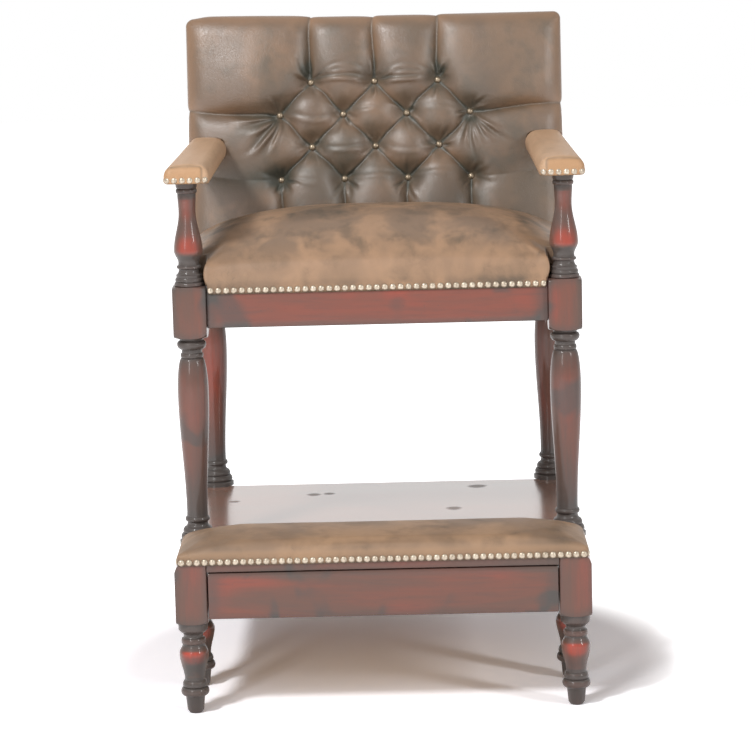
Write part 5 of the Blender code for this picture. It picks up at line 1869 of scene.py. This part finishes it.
@dataclass
class Nailing:
    """Rows of domed nails along the leather's edges, and the back's buttons."""

    radius: float = 0.0055
    height: float = 0.0030
    pitch: float = 0.0122
    seat_pitch: float = 0.0125
    button_radius: float = 0.0062
    button_height: float = 0.0045
    button_seat: float = 0.0012
    footrest_z: float = 0.2500
    footrest_reach: float = 0.3175
    seat_z: float = 0.6590
    seat_reach: float = 0.2686
    arm_rise: float = 0.0058
    arm_stop: float = 0.050
    end_gap: float = 0.008
    panel_inset: float = 0.011
    panel_foot: float = 0.012
    panel_proud: float = 0.0033
    tree: NailTree = field(default_factory=NailTree)

    def build(self, shop: Workshop, footrest: Footrest, seat: Seat, arms: Arms,
              back: Back) -> None:
        """Nail each padded piece.

        Args:
            shop: Makes the pieces.
            footrest: The footrest's pad.
            seat: The seat.
            arms: The arms.
            back: The back.
        """
        self._piece(shop, "footrest_nails", self._footrest_rows(footrest), self.pitch)
        self._piece(shop, "seat_nails", self._seat_rows(seat), self.seat_pitch)
        self._piece(shop, "arm_nails", self._arm_rows(arms), self.pitch)
        self._piece(shop, "outside_back_nails", self._outside_rows(back), self.pitch)
        rows = back.places()
        points, ways = [], []
        normal = raked(0, 1, 0) - raked(0, 0, 0)
        for row in rows:
            for bx, bw in row:
                depth = float(back.depth(np.array([[bx]]), np.array([[bw]]))[0][0, 0])
                points.append(raked(bx, depth + self.button_seat, bw))
                ways.append(normal)
        mesh = self.tree.mesh("back_buttons", [(points, ways)], shop.palette.button,
                              self.button_radius, self.button_height, self.pitch, True)
        names = [f"back_button_{row}_{number}" for row, places in enumerate(rows, 1)
                 for number in range(1, len(places) + 1)]
        shop.piece(mesh, shop.palette.button, "antique_brass", names)

    def _piece(self, shop: Workshop, name: str, rows: list[Row], pitch: float) -> None:
        """Set one piece's nails."""
        mesh = self.tree.mesh(name, rows, shop.palette.brass, self.radius, self.height, pitch)
        shop.piece(mesh, shop.palette.brass, "antique_brass")

    @staticmethod
    def _line(start: Triple, end: Triple, way: Triple) -> Row:
        """A straight row that faces one way."""
        return [Vector(start), Vector(end)], [Vector(way), Vector(way)]

    def _edge_rows(self, pad: "Footrest | Seat", start: float, reach: float,
                   z: float) -> list[Row]:
        """Front and sides of a pad.

        Args:
            pad: The footrest or the seat.
            start: Where its side rows start.
            reach: Half the length of its front row.
            z: Height of the rows.

        Returns:
            The rows.
        """
        rows = [self._line((-reach, pad.front, z), (reach, pad.front, z), (0, -1, 0))]
        for _, side in SIDES:
            x = side * pad.half_width
            rows.append(self._line((x, start, z), (x, pad.rear - self.end_gap, z),
                                   (side, 0, 0)))
        return rows

    def _footrest_rows(self, pad: Footrest) -> list[Row]:
        """Front and sides of the footrest."""
        return self._edge_rows(pad, pad.front + 0.010, self.footrest_reach, self.footrest_z)

    def _seat_rows(self, pad: Seat) -> list[Row]:
        """Front, sides and rear of the seat."""
        z, reach = self.seat_z, self.seat_reach - 0.004
        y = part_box("rear_seat_band")[1].y
        return [*self._edge_rows(pad, pad.notch_y + self.end_gap, self.seat_reach, z),
                self._line((-reach, y, z), (reach, y, z), (0, 1, 0))]

    def _arm_rows(self, arms: Arms) -> list[Row]:
        """Front and outer side of each arm."""
        rows = []
        z = arms.lower + self.arm_rise
        for _, side in SIDES:
            loop = arms.loop(side, 0.002)
            outward = np.roll(loop, -1, 0) - np.roll(loop, 1, 0)
            outward = np.stack([outward[:, 1], -outward[:, 0]], axis=1)
            outward /= np.linalg.norm(outward, axis=1, keepdims=True)
            outer = side * loop[:, 0] > arms.inner_x + 0.004
            chosen = np.flatnonzero(outer & (loop[:, 1] < arms.rear() - self.arm_stop))
            order = chosen[np.argsort(self._order(loop[chosen], arms, side))]
            rows.append(([Vector((*loop[index], z)) for index in order],
                         [Vector((*outward[index], 0)) for index in order]))
        return rows

    @staticmethod
    def _order(points: Array, arms: Arms, side: int) -> Array:
        """Order of an arm's points from the inner front corner outwards and back."""
        ahead = points[:, 1] < arms.front + arms.corner
        across = side * points[:, 0]
        return np.where(ahead, across, across.max() + 1 + points[:, 1])

    def _outside_rows(self, back: Back) -> list[Row]:
        """Sides and foot of the outside back."""
        depth = -back.frame_depth - self.panel_proud
        way = raked(0, -1, 0) - raked(0, 0, 0)
        x, low = back.half_width - self.panel_inset, self.panel_foot
        high = back.height - self.panel_inset
        corners = [raked(-x, depth, high), raked(-x, depth, low), raked(x, depth, low),
                   raked(x, depth, high)]
        top = [raked(-x + self.pitch, depth, high), raked(x - self.pitch, depth, high)]
        return [(corners, [way] * 4), (top, [way] * 2)]


@dataclass
class Studio:
    """Camera, lamps, floor and white surroundings."""

    camera_place: Triple = (0.03969, -4.88582, 1.29357)
    yaw: float = 0.00901
    pitch: float = 0.16560
    roll: float = -0.02449
    lens: float = 139.75
    soft_light: float = 0.225
    soft_colour: Colour = (1.0, 0.98, 0.93)
    floor_colour: Colour = (0.85, 0.80, 0.76)
    shown_floor: Colour = (1.44, 1.44, 1.51)
    floor_glow: Colour = (0.020, 0.013, 0.011)
    floor_middle: Triple = (0.0, -0.04, 0.0)
    floor_drop: float = 0.0005
    floor_reach: float = 12.0
    lamp_aim: Triple = (0, 0, 0.55)
    lamps: Table = (("lamp_left", (-2.20, -3.08, 4.00), 0.60, 150.0, 1.4),
                    ("lamp_right", (3.44, -2.89, 2.30), 0.45, 58.0, 3.0),
                    ("window", (-1.90, -4.10, 1.75), 0.50, 34.0, 4.0))

    def build(self) -> None:
        """Set everything that isn't the chair."""
        scene = bpy.context.scene
        scene.view_settings.view_transform = "Standard"
        self._camera(scene)
        self._world(scene)
        self._floor()
        for lamp in self.lamps:
            self._lamp(*lamp)

    def _camera(self, scene: Scene) -> None:
        """Stand the camera where the photograph was taken from."""
        sideways = Vector((math.cos(self.yaw), math.sin(self.yaw), 0))
        level = Vector((-math.sin(self.yaw), math.cos(self.yaw), 0))
        forward = math.cos(self.pitch) * level - Vector((0, 0, math.sin(self.pitch)))
        upright = math.sin(self.pitch) * level + Vector((0, 0, math.cos(self.pitch)))
        right = math.cos(self.roll) * sideways + math.sin(self.roll) * upright
        up = -math.sin(self.roll) * sideways + math.cos(self.roll) * upright
        data = bpy.data.cameras.new("camera")
        data.sensor_width = 36
        data.lens = self.lens
        turn = Matrix((right, up, -forward)).transposed().to_4x4()
        scene.camera = linked("camera", data)
        scene.camera.matrix_world = Matrix.Translation(self.camera_place) @ turn

    def _world(self, scene: Scene) -> None:
        """Soft light all round, and white where the camera or a gloss sees it."""
        world = bpy.data.worlds.new("surroundings")
        world.use_nodes = True
        nodes = Nodes(world.node_tree)
        kind = "ShaderNodeBackground"
        soft = nodes.glow(self.soft_colour, self.soft_light, kind)
        both = nodes.blend(nodes.seen(), soft, nodes.glow((1.0, 1.0, 1.0), 1.0, kind))
        nodes.tree.links.new(both.socket, nodes.tree.nodes["World Output"].inputs["Surface"])
        scene.world = world

    def _floor(self) -> None:
        """Lay a plain pale floor that keeps the chair's shadow and is white beyond it."""
        mesh, far = bpy.data.meshes.new("floor"), self.floor_reach
        mesh.from_pydata([(-far, -far, 0), (far, -far, 0), (far, far, 0), (-far, far, 0)],
                         [], [(0, 1, 2, 3)])
        shader = Shader("pale_floor")
        shader.finish(Base_Color=self.floor_colour, Roughness=0.9)
        plain = Wire(shader, shader.surface.outputs[0])
        pale = shader.node("ShaderNodeBsdfDiffuse", {}, {"Color": self.shown_floor})
        beyond = shader.reach(shader.place(), self.floor_middle).ease(0.42, 0.58)
        white = shader.glow(shader.mix(beyond, self.floor_glow, (1.0, 1.0, 1.0)), 1.0)
        bright = shader.node("ShaderNodeAddShader", {}, {0: pale, 1: white})
        both = shader.blend(shader.seen(), plain, bright)
        output = shader.tree.nodes["Material Output"].inputs["Surface"]
        shader.tree.links.new(both.socket, output)
        mesh.materials.append(shader.material)
        floor = linked("floor", mesh)
        floor.location.z = -self.floor_drop

    def _lamp(self, name: str, place: Triple, size: float, power: float, tall: float) -> None:
        """Add a soft lamp that faces the chair, some times as tall as wide."""
        data = bpy.data.lights.new(name, "AREA")
        data.shape = "RECTANGLE"
        data.size = size
        data.size_y = size * tall
        data.energy = power
        lamp = linked(name, data)
        lamp.location = place
        way = Vector(self.lamp_aim) - Vector(place)
        lamp.rotation_euler = way.to_track_quat("-Z", "Y").to_euler()


def main() -> None:
    """Build the chair's looks over its frame, and log how many pieces were made."""
    logging.basicConfig(level=logging.INFO, format="%(name)s: %(message)s")
    Studio().build()
    shop = Workshop(Palette())
    footrest, seat, arms, back = Footrest(), Seat(), Arms(), Back()
    Legs().build(shop)
    Platform().build(shop)
    footrest.build(shop)
    seat.build(shop)
    arms.build(shop)
    back.build(shop)
    Nailing().build(shop, footrest, seat, arms, back)
    log.info("%d pieces made", shop.made)


if __name__ == "__main__":
    main()
